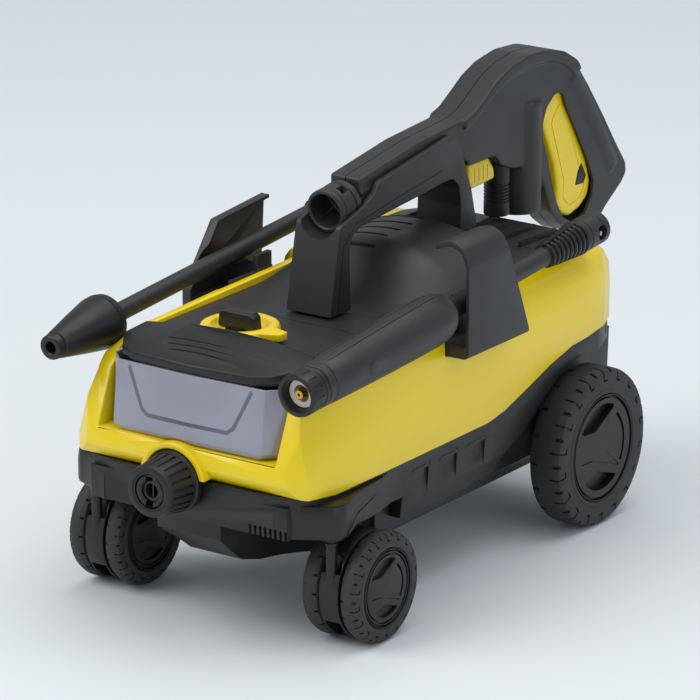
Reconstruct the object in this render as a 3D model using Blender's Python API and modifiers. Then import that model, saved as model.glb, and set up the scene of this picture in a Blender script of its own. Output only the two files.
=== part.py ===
"""Compact four-wheeled pressure washer with its trigger gun and two spray lances.

The machine stands on two swivelling twin casters at the front and two fixed wheels at the
rear.  Front is -Y, the right-hand side is +X.  Every outline is written from the middle of
the wheelbase, and the "machine" empty moves the whole assembly so that the origin is the
centre of its footprint.  Sizes are metres.
"""
import math

import bmesh
import bpy
from mathutils import Matrix, Vector

# ---- clearances and walls -------------------------------------------------------------
GAP = 0.0004            # between fixed pieces that meet
RUN = 0.0005            # between a pin and its bore, on the radius
WALL = 0.0030           # moulded shells

# ---- running gear ---------------------------------------------------------------------
WHEELBASE = 0.3406
REAR_RADIUS = 0.0700
REAR_WIDTH = 0.0340
REAR_INNER_X = 0.1035
REAR_HUB_RADIUS = 0.0470
REAR_AXLE_RADIUS = 0.0050
CASTER_X = 0.1190
CASTER_RADIUS = 0.0468
CASTER_HUB_RADIUS = 0.0330
CASTER_TRAIL = 0.0402
CASTER_FORK_WIDTH = 0.0186
CASTER_WHEEL_WIDTH = 0.0182
CASTER_AXLE_RADIUS = 0.0036
CASTER_STEM_RADIUS = 0.0040
CASTER_BOSS_RADIUS = 0.0115
CEILING_GAP = 0.0044    # from the top of a caster wheel to the chassis over it

# ---- body -----------------------------------------------------------------------------
BODY_HALF = 0.1170
BODY_FRONT = -0.2475
BODY_REAR = 0.2520
CHASSIS_HALF = 0.1145
KEEL_HALF = 0.0985
KEEL_BOTTOM = 0.0520
PANEL_BOTTOM = 0.0790
SKIRT_Z = 0.1290        # where the shell meets the chassis along the side
SHOULDER_Z = 0.2415
COVER_HALF = 0.0890

# ---- tank and switch ------------------------------------------------------------------
TANK_HALF = 0.0880
TANK_BOTTOM = 0.1615
TANK_TOP = 0.2190
TANK_BACK = -0.1900
TANK_WALL = 0.0025
LID_BACK = -0.1830
LID_HINGE_Z = 0.2400
DIAL_X = -0.0180
DIAL_Y = -0.1460
DIAL_Z = 0.2330
DIAL_RADIUS = 0.0335

# ---- high-pressure outlet -------------------------------------------------------------
OUTLET_X = -0.0080
OUTLET_Z = 0.1310
OUTLET_FRONT = -0.2850
OUTLET_LENGTH = 0.0370
OUTLET_RADIUS = 0.0215
OUTLET_BASE_RADIUS = 0.0265
ARCH_WALL = 0.0050
ARCH_FRONT = -0.2540

# ---- carry handle ---------------------------------------------------------------------
HANDLE_HALF = 0.0225
POST_FOOT_Z = 0.2285
REAR_FOOT_Z = 0.2490

# ---- lances and their holders ---------------------------------------------------------
LANCE_X = 0.1190
LANCE_Z = 0.2485        # height of the lance axis over the middle of the wheelbase
LANCE_SLOPE = 0.0769
LANCE_FRONT = -0.2590
LANCE_BODY_RADIUS = 0.0222
LANCE_TUBE_RADIUS = 0.0085
LANCE_GRIP_RADIUS = 0.0150
LANCE_CONE_RADIUS = 0.0228
TROUGH_GAP = 0.0010
HOLDER_OUT = 0.1385
HOLDER_WALL = 0.0030
HOLDER_TOP = 0.3045
HOLDER_BOTTOM = 0.2050
HOLDER_INNER_X = 0.0975
LEFT_HOLDER_TOP = 0.2815
LEFT_HOLDER_BOTTOM = 0.2050
LEFT_RIM_DEPTH = 0.0085

# ---- trigger gun ----------------------------------------------------------------------
GUN_HEEL_Y = 0.3985
GUN_HALF = 0.0195
BARREL_HALF = 0.0165
BARREL_SLOPE = 0.1200
MUZZLE_Y = -0.0510
MUZZLE_Z = 0.3110
MUZZLE_RADIUS = 0.0187
TRIGGER_HALF = 0.0120
TRIGGER_SIDE_GAP = 0.0010
LOCK_TRAVEL = 0.0040
VALVE_Y = 0.2410
VALVE_RADIUS = 0.0210
SOCKET_Y = 0.2080
SOCKET_RADIUS = 0.0115

# ---- worked out from the sizes above --------------------------------------------------
REAR_Y = WHEELBASE / 2
CASTER_Y = -WHEELBASE / 2
PIVOT_Y = CASTER_Y - CASTER_TRAIL
CEILING_Z = 2 * CASTER_RADIUS + CEILING_GAP
CASTER_TOTAL = CASTER_FORK_WIDTH + 2 * (CASTER_WHEEL_WIDTH + RUN)
WELL_RADIUS = math.hypot(CASTER_TRAIL + CASTER_RADIUS, CASTER_TOTAL / 2) + 0.0015
TROUGH_RADIUS = max(LANCE_BODY_RADIUS, LANCE_CONE_RADIUS) + TROUGH_GAP
MIDDLE_Y = -(GUN_HEEL_Y + OUTLET_FRONT) / 2     # the origin is the middle of the footprint
ROUND = 40


# ---- small tools ----------------------------------------------------------------------
def clear_scene():
    """Remove every object of the scene."""
    for obj in list(bpy.data.objects):
        bpy.data.objects.remove(obj, do_unlink=True)


clear_scene()
PARTS = bpy.data.collections.new("pressure_washer")
CUTTERS = bpy.data.collections.new("cutters")
bpy.context.scene.collection.children.link(PARTS)
bpy.context.scene.collection.children.link(CUTTERS)
MACHINE = bpy.data.objects.new("machine", None)
MACHINE.location = (0, MIDDLE_Y, 0)
PARTS.objects.link(MACHINE)


def plastic(name, colour, roughness=0.5, metallic=0.0):
    """Return a plain material with this colour."""
    mat = bpy.data.materials.new(name)
    mat.use_nodes = True
    shader = mat.node_tree.nodes["Principled BSDF"]
    shader.inputs["Base Color"].default_value = (*colour, 1)
    shader.inputs["Roughness"].default_value = roughness
    shader.inputs["Metallic"].default_value = metallic
    return mat


YELLOW = plastic("yellow_plastic", (0.89, 0.66, 0.005), 0.35)
GREY = plastic("dark_grey_plastic", (0.055, 0.055, 0.058), 0.5)
BLACK = plastic("black_plastic", (0.012, 0.012, 0.013), 0.5)
RUBBER = plastic("tyre_plastic", (0.03, 0.03, 0.031), 0.75)
SMOKE = plastic("smoked_tank", (0.37, 0.38, 0.46), 0.15)
STEEL = plastic("steel", (0.55, 0.55, 0.56), 0.3, 1.0)
BRASS = plastic("brass", (0.72, 0.52, 0.2), 0.3, 1.0)
ALUMINIUM = plastic("cast_aluminium", (0.5, 0.5, 0.52), 0.45, 1.0)


def new_object(name, mesh):
    """Put a mesh in the parts collection, under the machine empty."""
    obj = bpy.data.objects.new(name, mesh)
    PARTS.objects.link(obj)
    obj.parent = MACHINE
    return obj


def smooth(obj, angle=35):
    """Shade round faces smooth and keep the real edges sharp."""
    obj.data.shade_smooth()
    obj.data.set_sharp_from_angle(angle=math.radians(angle))
    return obj


def paint(obj, mat):
    """Give the object its material."""
    obj.data.materials.clear()
    obj.data.materials.append(mat)
    return obj


def box(name, low, high):
    """A box between two corners."""
    bm = bmesh.new()
    bmesh.ops.create_cube(bm, size=1.0)
    size = [high[i] - low[i] for i in range(3)]
    centre = [(high[i] + low[i]) / 2 for i in range(3)]
    bmesh.ops.scale(bm, vec=size, verts=bm.verts)
    bmesh.ops.translate(bm, vec=centre, verts=bm.verts)
    mesh = bpy.data.meshes.new(name)
    bm.to_mesh(mesh)
    bm.free()
    return new_object(name, mesh)


def axis_turn(direction):
    """The rotation that takes local Z to this direction."""
    return Vector((0, 0, 1)).rotation_difference(Vector(direction)).to_matrix().to_4x4()


def rod(name, radius, start, end, segments=ROUND, end_radius=None):
    """A cylinder or cone between two points."""
    start = Vector(start)
    end = Vector(end)
    top = radius if end_radius is None else end_radius
    bm = bmesh.new()
    bmesh.ops.create_cone(
        bm, cap_ends=True, segments=segments, radius1=radius, radius2=top, depth=(end - start).length
    )
    bmesh.ops.transform(bm, matrix=axis_turn(end - start), verts=bm.verts)
    bmesh.ops.translate(bm, vec=(start + end) / 2, verts=bm.verts)
    mesh = bpy.data.meshes.new(name)
    bm.to_mesh(mesh)
    bm.free()
    return smooth(new_object(name, mesh))


def as_mesh(curve_object):
    """Replace a curve object by a closed mesh object at the same place."""
    depsgraph = bpy.context.evaluated_depsgraph_get()
    mesh = bpy.data.meshes.new_from_object(curve_object.evaluated_get(depsgraph))
    name = curve_object.name
    matrix = curve_object.matrix_basis.copy()
    bpy.data.objects.remove(curve_object)
    bm = bmesh.new()
    bm.from_mesh(mesh)
    bmesh.ops.remove_doubles(bm, verts=bm.verts, dist=0.00001)
    bm.to_mesh(mesh)
    bm.free()
    obj = new_object(name, mesh)
    obj.matrix_basis = matrix
    return obj


PLANES = {
    "side": Matrix(((0, 0, 1, 0), (1, 0, 0, 0), (0, 1, 0, 0), (0, 0, 0, 1))),
    "front": Matrix(((1, 0, 0, 0), (0, 0, -1, 0), (0, 1, 0, 0), (0, 0, 0, 1))),
    "plan": Matrix.Identity(4),
}


def plate(name, outline, low, high, plane="side", bevel=0.0, segments=2):
    """A flat outline given thickness: "side" outlines hold (y, z) and lie between two x."""
    curve = bpy.data.curves.new(name, "CURVE")
    curve.dimensions = "2D"
    curve.fill_mode = "BOTH"
    curve.extrude = abs(high - low) / 2
    spline = curve.splines.new("POLY")
    spline.points.add(len(outline) - 1)
    for point, place in zip(spline.points, outline):
        point.co = (place[0], place[1], 0, 1)
    spline.use_cyclic_u = True
    obj = bpy.data.objects.new(name, curve)
    PARTS.objects.link(obj)
    middle = (low + high) / 2
    if plane == "front":
        middle = -middle
    obj.matrix_basis = PLANES[plane] @ Matrix.Translation((0, 0, middle))
    bpy.context.view_layer.update()
    obj = as_mesh(obj)
    if bevel:
        round_edges(obj, bevel, segments)
    return obj


def round_edges(obj, width, segments=2, angle=50):
    """Round the sharp edges of an object."""
    mod = obj.modifiers.new("round", "BEVEL")
    mod.width = width
    mod.segments = segments
    mod.limit_method = "ANGLE"
    mod.angle_limit = math.radians(angle)
    return obj


def turned(name, profile, start, direction=(0, 0, 1), steps=ROUND, closed=False):
    """A turned solid: the profile holds (radius, distance) and runs from the far end back."""
    count = len(profile)
    edges = [(i, i + 1) for i in range(count - 1)]
    if closed:
        edges.append((count - 1, 0))
    mesh = bpy.data.meshes.new(name)
    mesh.from_pydata([(r, 0, s) for r, s in profile], edges, [])
    obj = new_object(name, mesh)
    mod = obj.modifiers.new("turn", "SCREW")
    mod.angle = math.tau
    mod.steps = steps
    mod.render_steps = steps
    mod.use_merge_vertices = True
    mod.merge_threshold = 0.00005
    mod.use_smooth_shade = True
    obj.matrix_basis = Matrix.Translation(start) @ axis_turn(direction)
    return obj


def boolean(target, tool, operation):
    """Cut a tool from the target, join it to the target, or keep what they share."""
    for collection in tool.users_collection:
        collection.objects.unlink(tool)
    CUTTERS.objects.link(tool)
    tool.hide_render = True
    tool.display_type = "WIRE"
    mod = target.modifiers.new(operation.lower(), "BOOLEAN")
    mod.operation = operation
    mod.object = tool
    mod.solver = "EXACT"
    return target


def cut(target, *tools):
    """Cut every tool from the target."""
    for tool in tools:
        boolean(target, tool, "DIFFERENCE")
    return target


def join(target, *tools):
    """Join every tool to the target."""
    for tool in tools:
        boolean(target, tool, "UNION")
    return target


def move_origin(obj, place):
    """Put the object's origin at a point of its joint axis and leave its shape where it is."""
    offset = Matrix.Translation(Vector(place))
    obj.data.transform(offset.inverted() @ obj.matrix_basis)
    obj.matrix_basis = offset
    return obj


def mirrored(outline):
    """Complete a half outline, given from the centre line round to the centre line."""
    return outline + [(-x, y) for x, y in reversed(outline) if x > 0]


def arc(centre, radius, first, last, count):
    """Points along an arc, in degrees."""
    points = []
    for i in range(count + 1):
        angle = math.radians(first + (last - first) * i / count)
        points.append((centre[0] + radius * math.cos(angle), centre[1] + radius * math.sin(angle)))
    return points


def loft(name, sections):
    """Closed skin through rings of points that all have the same count."""
    count = len(sections[0])
    verts = [point for ring in sections for point in ring]
    faces = [list(range(count - 1, -1, -1))]
    for level in range(len(sections) - 1):
        base = level * count
        for i in range(count):
            j = (i + 1) % count
            faces.append([base + i, base + j, base + count + j, base + count + i])
    top = (len(sections) - 1) * count
    faces.append(list(range(top, top + count)))
    mesh = bpy.data.meshes.new(name)
    mesh.from_pydata(verts, [], faces)
    bm = bmesh.new()
    bm.from_mesh(mesh)
    bmesh.ops.recalc_face_normals(bm, faces=bm.faces)
    bm.to_mesh(mesh)
    bm.free()
    return new_object(name, mesh)


def lance_point(y, side=1):
    """A point on the axis of a lance."""
    return Vector((side * LANCE_X, y, LANCE_Z + LANCE_SLOPE * y))


LANCE_WAY = Vector((0, 1, LANCE_SLOPE)).normalized()
BARREL_WAY = Vector((0, 1, BARREL_SLOPE)).normalized()


# ---- chassis --------------------------------------------------------------------------
def skirt(gap=0.0):
    """The line where the yellow shell meets the black chassis, front to rear."""
    return [
        (-0.2400, SKIRT_Z + 0.0055 - gap),
        (-0.2000, SKIRT_Z - gap),
        (0.0200, SKIRT_Z + 0.0005 - gap),
        (0.0450, SKIRT_Z + 0.0045 - gap),
        (0.0800, SKIRT_Z + 0.0150 - gap),
        (0.1140, SKIRT_Z + 0.0260 - gap),
        (0.1500, SKIRT_Z + 0.0345 - gap),
        (0.2000, SKIRT_Z + 0.0380 - gap),
        (0.2360, SKIRT_Z + 0.0390 - gap),
    ]


def chassis_plan(inset, z):
    """Outline of the chassis seen from above, one level of its skin."""
    half = mirrored([
        (0.0, BODY_FRONT + inset + 0.0005),
        (0.0720, BODY_FRONT + inset + 0.0025),
        (0.1000, BODY_FRONT + inset + 0.0080),
        (CHASSIS_HALF - inset * 0.4, BODY_FRONT + 0.0280 + inset),
        (CHASSIS_HALF - inset * 0.4, 0.1950),
        (0.1040, 0.2260),
        (0.0850, 0.2400),
        (0.0, 0.2440),
    ])
    return [(x, y, z) for x, y in half]


def build_chassis():
    """The black lower half: a tub with caster wells, side panels and the axle carrier."""
    levels = [(0.0120, 0.0780), (0.0050, 0.1000), (0.0, 0.1300), (0.0, 0.1900)]
    body = loft("chassis", [chassis_plan(inset, z) for inset, z in levels])
    side = skirt(GAP) + [
        (0.2700, SKIRT_Z + 0.0390 - GAP),
        (0.2700, 0.1510),
        (0.2310, 0.1515),
        (0.2000, 0.1475),
        (0.1660, 0.1500),
        (0.1360, 0.1440),
        (0.1130, 0.1300),
        (0.0780, 0.1040),
        (0.0520, 0.0920),
        (0.0360, PANEL_BOTTOM),
        (-0.1000, PANEL_BOTTOM),
        (-0.1000, CEILING_Z),
        (-0.2700, CEILING_Z),
        (-0.2700, SKIRT_Z + 0.0055 - GAP),
    ]
    boolean(body, plate("chassis_side", side, -0.2, 0.2), "INTERSECT")
    keel = [
        (-0.2440, SKIRT_Z - 0.0030),
        (-0.2420, 0.0850),
        (-0.2050, 0.0570),
        (-0.1850, KEEL_BOTTOM),
        (0.2150, KEEL_BOTTOM),
        (0.2330, 0.0640),
        (0.2380, 0.1560),
        (0.1200, 0.1560),
        (0.0300, SKIRT_Z - 0.0030),
    ]
    join(body, plate("chassis_keel", keel, -KEEL_HALF, KEEL_HALF))
    for side_sign in (-1, 1):
        pivot = (side_sign * CASTER_X, PIVOT_Y)
        name = "right" if side_sign > 0 else "left"
        cut(body, rod("well_" + name, WELL_RADIUS, (*pivot, 0.0), (*pivot, CEILING_Z), 48))
        boss = (*pivot, CEILING_Z - 0.0010)
        join(body, rod("boss_" + name, CASTER_BOSS_RADIUS, boss, (*pivot, SKIRT_Z - 0.0020), 24))
        cut(body, rod("bore_" + name, CASTER_STEM_RADIUS + RUN, (*pivot, 0.05), (*pivot, 0.1180), 24))
        for index in range(3):
            y = -0.0700 + 0.0420 * index
            inner = side_sign * (CHASSIS_HALF - 0.0030)
            outer = side_sign * (CHASSIS_HALF + 0.0100)
            groove = box("groove_%s_%d" % (name, index), (min(inner, outer), y, 0.0700),
                         (max(inner, outer), y + 0.0065, 0.1150))
            cut(body, groove)
    low_floor = KEEL_BOTTOM + WALL
    high_floor = PANEL_BOTTOM + WALL
    cavity = box("tub_high", (-CHASSIS_HALF + 0.0070, -0.0930, high_floor + 0.0200),
                 (CHASSIS_HALF - 0.0070, 0.0350, 0.30))
    keel_cavity = box("tub_low", (-KEEL_HALF + 0.0120, -0.0930, low_floor),
                      (KEEL_HALF - 0.0120, 0.2280, 0.30))
    front_cavity = box("tub_front", (-0.0900, -0.2300, CEILING_Z + WALL), (0.0900, -0.0900, 0.30))
    rear_cavity = box("tub_rear", (-CHASSIS_HALF + 0.0080, 0.1200, 0.1560),
                      (CHASSIS_HALF - 0.0080, 0.2200, 0.30))
    cut(body, cavity, keel_cavity, front_cavity, rear_cavity)
    axle = rod("axle_bore", REAR_AXLE_RADIUS + RUN, (-0.2, REAR_Y, REAR_RADIUS),
               (0.2, REAR_Y, REAR_RADIUS), 24)
    outlet = rod("outlet_bore", 0.0140 + GAP, (OUTLET_X, -0.30, OUTLET_Z), (OUTLET_X, -0.20, OUTLET_Z), 32)
    inlet = rod("inlet_bore", 0.0125, (-0.0450, 0.21, 0.1150), (-0.0450, 0.27, 0.1150), 24)
    gland = rod("gland_bore", 0.0085, (0.0450, 0.21, 0.1150), (0.0450, 0.27, 0.1150), 24)
    cut(body, axle, outlet, inlet, gland)
    paint(body, BLACK)


# ---- yellow shell ---------------------------------------------------------------------
def shell_plan(z, pull):
    """Outline of the shell seen from above at one height; pull narrows the shoulders."""
    share = min(max((z - 0.1480) / 0.0550, 0.0), 1.0)
    half = BODY_HALF - pull
    outline = mirrored([
        (0.0, BODY_FRONT),
        (half - 0.0170 - 0.0140 * share, BODY_FRONT),
        (half - 0.0010 - 0.0150 * share, BODY_FRONT + 0.0110),
        (half - 0.0060 * share, -0.1500),
        (half, -0.0930),
        (half, 0.1750),
        (half - 0.0030, 0.2050 - pull * 0.5),
        (half - 0.0130, 0.2290 - pull),
        (half - 0.0320, 0.2450 - pull),
        (half - 0.0600, BODY_REAR - pull),
        (0.0, BODY_REAR + 0.0010 - pull),
    ])
    return [(x, y, z) for x, y in outline]


def cover_plan(gap):
    """Plan of the opening that the grey cover fills."""
    half = COVER_HALF + gap
    return mirrored([
        (0.0, LID_BACK + 0.0030 - gap),
        (half, LID_BACK + 0.0010 - gap),
        (half, 0.1900),
        (half - 0.0160, 0.2150 + gap),
        (0.0, 0.2200 + gap),
    ])


def build_shell():
    """The yellow upper shell, open below, with the tank pocket and the lance troughs."""
    arch_radius = OUTLET_BASE_RADIUS + 0.0012 + ARCH_WALL
    levels = [
        (0.1200, 0.0), (0.1480, 0.0), (0.1760, 0.0), (0.2030, 0.0), (0.2180, 0.0008),
        (0.2300, 0.0045), (0.2370, 0.0100), (SHOULDER_Z + 0.0002, 0.0190),
    ]
    body = loft("body_shell", [shell_plan(z, pull) for z, pull in levels])
    side = skirt() + [
        (0.2490, SKIRT_Z + 0.0410),
        (0.2530, SKIRT_Z + 0.0510),
        (0.2480, 0.2000),
        (0.2380, 0.2190),
        (0.2200, 0.2330),
        (0.2000, 0.2390),
        (0.1700, SHOULDER_Z),
        (0.0600, SHOULDER_Z),
        (0.0400, 0.2340),
        (-0.1000, 0.2310),
        (-0.1900, 0.2290),
        (-0.2150, 0.2170),
        (-0.2270, 0.2060),
        (-0.2460, 0.1600),
        (-0.2480, 0.1450),
    ]
    boolean(body, plate("shell_side", side, -0.2, 0.2), "INTERSECT")
    lower = box("shell_room", (-BODY_HALF + WALL, -0.0900, 0.05), (BODY_HALF - WALL, 0.1900, 0.2000))
    middle = box("shell_deck_room", (-BODY_HALF + 0.0200, -0.1840, 0.05),
                 (BODY_HALF - 0.0200, -0.0800, 0.2010))
    front = box("shell_nose_room", (-BODY_HALF + 0.0220, BODY_FRONT + 0.0180, 0.05),
                (BODY_HALF - 0.0220, -0.1700, TANK_BOTTOM - 0.0060))
    rear = box("shell_tail_room", (-BODY_HALF + 0.0220, 0.1850, 0.05),
               (BODY_HALF - 0.0220, BODY_REAR - 0.0160, 0.1960))
    upper = plate("shell_top_opening", cover_plan(GAP), 0.1950, 0.30, "plan")
    pocket = box("tank_pocket", (-TANK_HALF - 0.0010, -0.30, TANK_BOTTOM - 0.0010),
                 (TANK_HALF + 0.0010, TANK_BACK + 0.0020, 0.30))
    lid_room = box("lid_room", (-0.0925, -0.30, TANK_TOP - 0.0020), (0.0925, LID_BACK + 0.0025, 0.30))
    cut(body, lower, middle, front, rear, upper, pocket, lid_room)
    for side_sign in (-1, 1):
        name = "right" if side_sign > 0 else "left"
        front_trough = rod("trough_" + name, TROUGH_RADIUS, lance_point(-0.30, side_sign),
                           lance_point(-0.0300, side_sign), 40)
        rear_trough = rod("tube_trough_" + name, LANCE_GRIP_RADIUS + TROUGH_GAP,
                          lance_point(-0.0400, side_sign), lance_point(0.30, side_sign), 32)
        seat_y = (-0.0440, 0.0500) if side_sign > 0 else (-0.0690, 0.0480)
        edges = sorted((side_sign * (HOLDER_INNER_X - GAP), side_sign * 0.2))
        seat = box("seat_" + name, (edges[0], seat_y[0] - GAP, HOLDER_BOTTOM - GAP),
                   (edges[1], seat_y[1] + GAP, 0.30))
        cut(body, front_trough, rear_trough, seat)
    hood = rod("outlet_hood", arch_radius, (OUTLET_X, ARCH_FRONT, OUTLET_Z),
               (OUTLET_X, -0.2350, OUTLET_Z), 48)
    hood_part = box("outlet_hood_part", (-0.1, -0.30, SKIRT_Z + 0.0075), (0.1, -0.20, 0.20))
    boolean(hood, hood_part, "INTERSECT")
    arch = rod("outlet_arch", OUTLET_BASE_RADIUS + 0.0012, (OUTLET_X, -0.32, OUTLET_Z),
               (OUTLET_X, -0.2050, OUTLET_Z), 48)
    join(body, hood)
    cut(body, arch)
    paint(body, YELLOW)


# ---- grey cover with the dome over the motor ------------------------------------------
COVER_STATIONS = [
    # y, height on the centre line, height at the edge
    (-0.1800, 0.2270, 0.2270),
    (-0.1100, 0.2265, 0.2265),
    (-0.0440, 0.2265, 0.2262),
    (-0.0425, 0.2350, 0.2264),
    (-0.0380, 0.2470, 0.2268),
    (-0.0250, 0.2570, 0.2280),
    (0.0000, 0.2650, 0.2300),
    (0.0350, 0.2710, 0.2340),
    (0.0750, 0.2700, 0.2380),
    (0.1000, 0.2640, 0.2405),
    (0.1130, 0.2480, 0.2415),
    (0.1500, 0.2470, 0.2420),
    (0.1900, 0.2460, 0.2415),
    (0.2150, 0.2440, 0.2400),
]
COVER_SECTION = [(0.0, 1.0), (0.30, 0.96), (0.55, 0.80), (0.75, 0.50), (0.90, 0.18), (1.0, 0.0)]


def build_cover():
    """The dark grey cover: flat deck, dome with air slots, ribbed rear deck."""
    rows = []
    for y, crown, edge in COVER_STATIONS:
        half = COVER_HALF - (0.0150 if y > 0.2100 else 0.0)
        right = [(half * f, y, edge + (crown - edge) * h) for f, h in COVER_SECTION]
        left = [(-x, y, z) for x, y, z in reversed(right[1:])]
        rows.append(left + right)
    width = len(rows[0])
    mesh = bpy.data.meshes.new("top_cover")
    faces = []
    for i in range(len(rows) - 1):
        for j in range(width - 1):
            a = i * width + j
            faces.append([a, a + 1, a + width + 1, a + width])
    mesh.from_pydata([point for row in rows for point in row], [], faces)
    bm = bmesh.new()
    bm.from_mesh(mesh)
    bmesh.ops.triangulate(bm, faces=bm.faces)
    bm.to_mesh(mesh)
    bm.free()
    cover = new_object("top_cover", mesh)
    solid = cover.modifiers.new("wall", "SOLIDIFY")
    solid.thickness = WALL
    solid.offset = -1
    for index in range(5):
        y = 0.0120 + 0.0200 * index
        cut(cover, box("vent_%d" % index, (-0.0600, y, 0.2300), (0.0060, y + 0.0035, 0.29)))
    hole = rod("dial_hole", 0.0100, (DIAL_X, DIAL_Y, 0.20), (DIAL_X, DIAL_Y, 0.25), 24)
    cut(cover, hole)
    for index in range(6):
        x = -0.0625 + 0.0250 * index
        rib = box("deck_rib_%d" % index, (x - 0.0010, 0.1550, 0.2440), (x + 0.0010, 0.2050, 0.2480))
        join(cover, rib)
    paint(smooth(cover), GREY)


# ---- carry handle ---------------------------------------------------------------------
def barrel_z(y, height):
    """A height measured square to the barrel's line from the muzzle's centre."""
    return MUZZLE_Z + BARREL_SLOPE * (y - MUZZLE_Y) + height


def build_handle():
    """Front post with the muzzle cup, hollow beam round the barrel, rear post."""
    outline = [
        (-0.0750, POST_FOOT_Z), (-0.0640, 0.2850), (-0.0600, 0.3035), (-0.0510, 0.3055),
        (-0.0260, 0.3130), (-0.0100, 0.3210), (-0.0040, 0.3290), (0.0180, 0.3325),
        (0.0810, 0.3415), (0.1080, 0.3455), (0.1200, 0.3280), (0.1265, 0.3100),
        (0.1345, 0.2920), (0.1420, 0.2630), (0.1440, REAR_FOOT_Z), (0.1170, REAR_FOOT_Z),
        (0.1185, 0.2800), (0.1155, 0.2990), (0.1050, 0.3070), (0.0900, 0.3065),
        (0.0500, 0.3030), (0.0090, 0.3000), (-0.0300, 0.2970), (-0.0430, 0.2920),
        (-0.0470, 0.2820), (-0.0455, POST_FOOT_Z),
    ]
    handle = plate("carry_handle", outline, -HANDLE_HALF, HANDLE_HALF, bevel=0.0030)
    half = BARREL_HALF + 0.0010
    floor = -0.0085
    channel = [
        (-0.0260, barrel_z(-0.0260, floor)), (0.1600, barrel_z(0.1600, floor)),
        (0.1600, 0.40), (-0.0260, 0.40),
    ]
    cup = rod("muzzle_cup", MUZZLE_RADIUS + 0.0008, Vector((0, MUZZLE_Y, MUZZLE_Z)) - 0.05 * BARREL_WAY,
              Vector((0, MUZZLE_Y, MUZZLE_Z)) + 0.0300 * BARREL_WAY, 32)
    cut(handle, plate("barrel_channel", channel, -half, half), cup)
    paint(handle, GREY)


# ---- lance holders --------------------------------------------------------------------
def build_right_holder():
    """A C-shaped side bracket with a rolled lip and a saddle for the lance tube."""
    name = "holder_right"
    out = HOLDER_OUT
    wall = HOLDER_WALL
    top = HOLDER_TOP
    low = HOLDER_BOTTOM
    inner = HOLDER_INNER_X
    section = [
        (inner, low), (out, low), (out, top - 0.0200), (out - 0.0045, top - 0.0060),
        (out - 0.0160, top), (0.1060, top - 0.0045), (0.1040, top - 0.0085),
        (out - 0.0165, top - wall), (out - wall - 0.0030, top - 0.0090),
        (out - wall, top - 0.0210), (out - wall, low + 0.0100),
        (inner + wall, low + 0.0100), (inner + wall, low + 0.0300), (inner, low + 0.0300),
    ]
    front = -0.0430
    holder = plate(name, section, front, 0.0490, "front")
    side = [
        (front - 0.01, low - 0.01), (0.0500, low - 0.01), (0.0490, low + 0.0020),
        (0.0180, 0.2840), (0.0140, top + 0.01), (front - 0.01, top + 0.01),
    ]
    boolean(holder, plate(name + "_side", side, 0.05, 0.20), "INTERSECT")
    saddle = box(name + "_saddle", (inner + 0.0010, -0.0100, low + 0.0050),
                 (out - 0.0010, 0.0100, lance_point(0.0).z - 0.0020))
    groove = rod(name + "_groove", LANCE_GRIP_RADIUS + 0.0010, lance_point(-0.05), lance_point(0.08), 24)
    join(holder, saddle)
    cut(holder, groove)
    paint(holder, GREY)


def build_left_holder():
    """A lower side plate with a rim turned inwards, an inner cheek and a saddle for the lance tube."""
    out = HOLDER_OUT
    wall = HOLDER_WALL
    low = LEFT_HOLDER_BOTTOM
    side = [
        (0.0450, low), (0.0505, LEFT_HOLDER_TOP), (-0.0230, LEFT_HOLDER_TOP - 0.0060),
        (-0.0640, 0.2230), (-0.0640, 0.2060), (-0.0520, low),
    ]
    inside = [
        (0.0700, low + 0.0100), (0.0700, LEFT_HOLDER_TOP - wall + 0.0015),
        (-0.0215, LEFT_HOLDER_TOP - 0.0060 - wall), (-0.0605, 0.2215), (-0.0605, 0.2090),
        (-0.0510, low + 0.0100),
    ]
    holder = plate("holder_left", side, -out, -out + LEFT_RIM_DEPTH)
    cut(holder, plate("left_dish", inside, -out + wall, -0.05))
    floor = box("left_floor", (-out + 0.0010, -0.0500, low), (-HOLDER_INNER_X, 0.0440, low + 0.0100))
    cheek = box("left_cheek", (-HOLDER_INNER_X - wall, -0.0500, low), (-HOLDER_INNER_X, 0.0100, 0.2340))
    saddle = box("left_saddle", (-out + 0.0010, -0.0100, low + 0.0050),
                 (-HOLDER_INNER_X - 0.0010, 0.0100, lance_point(0.0).z - 0.0020))
    join(holder, floor, cheek, saddle)
    groove = rod("left_groove", LANCE_GRIP_RADIUS + 0.0010, lance_point(-0.09, -1), lance_point(0.08, -1), 24)
    cut(holder, groove)
    paint(holder, GREY)


# ---- wheels ---------------------------------------------------------------------------
def wheel(name, radius, hub_radius, width, x_inner, place_y, side, bore, steps):
    """A tyre and its hub; side tells which way the outer face looks."""
    shoulder = width * 0.12
    tyre_profile = [
        (hub_radius + GAP, width), (radius - shoulder, width), (radius, width - shoulder),
        (radius, shoulder), (radius - shoulder, 0.0), (hub_radius + GAP, 0.0),
    ]
    start = (side * x_inner, place_y, radius)
    way = (side, 0, 0)
    tyre = turned(name + "_tyre", tyre_profile, start, way, steps, closed=True)
    paint(tyre, RUBBER)
    rim = hub_radius
    dish = width * 0.10
    hub_profile = [
        (0.0, width - dish), (rim * 0.80, width - dish), (rim * 0.84, width - 0.0005),
        (rim, width - 0.0005), (rim, 0.0010), (rim * 0.85, 0.0010), (rim * 0.80, width * 0.45),
        (bore * 2.2, width * 0.45), (bore * 2.2, 0.0010), (bore, 0.0010),
        (bore, width * 0.70), (0.0, width * 0.70),
    ]
    hub = turned(name + "_hub", hub_profile, start, way, steps // 2)
    paint(hub, BLACK)


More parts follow.
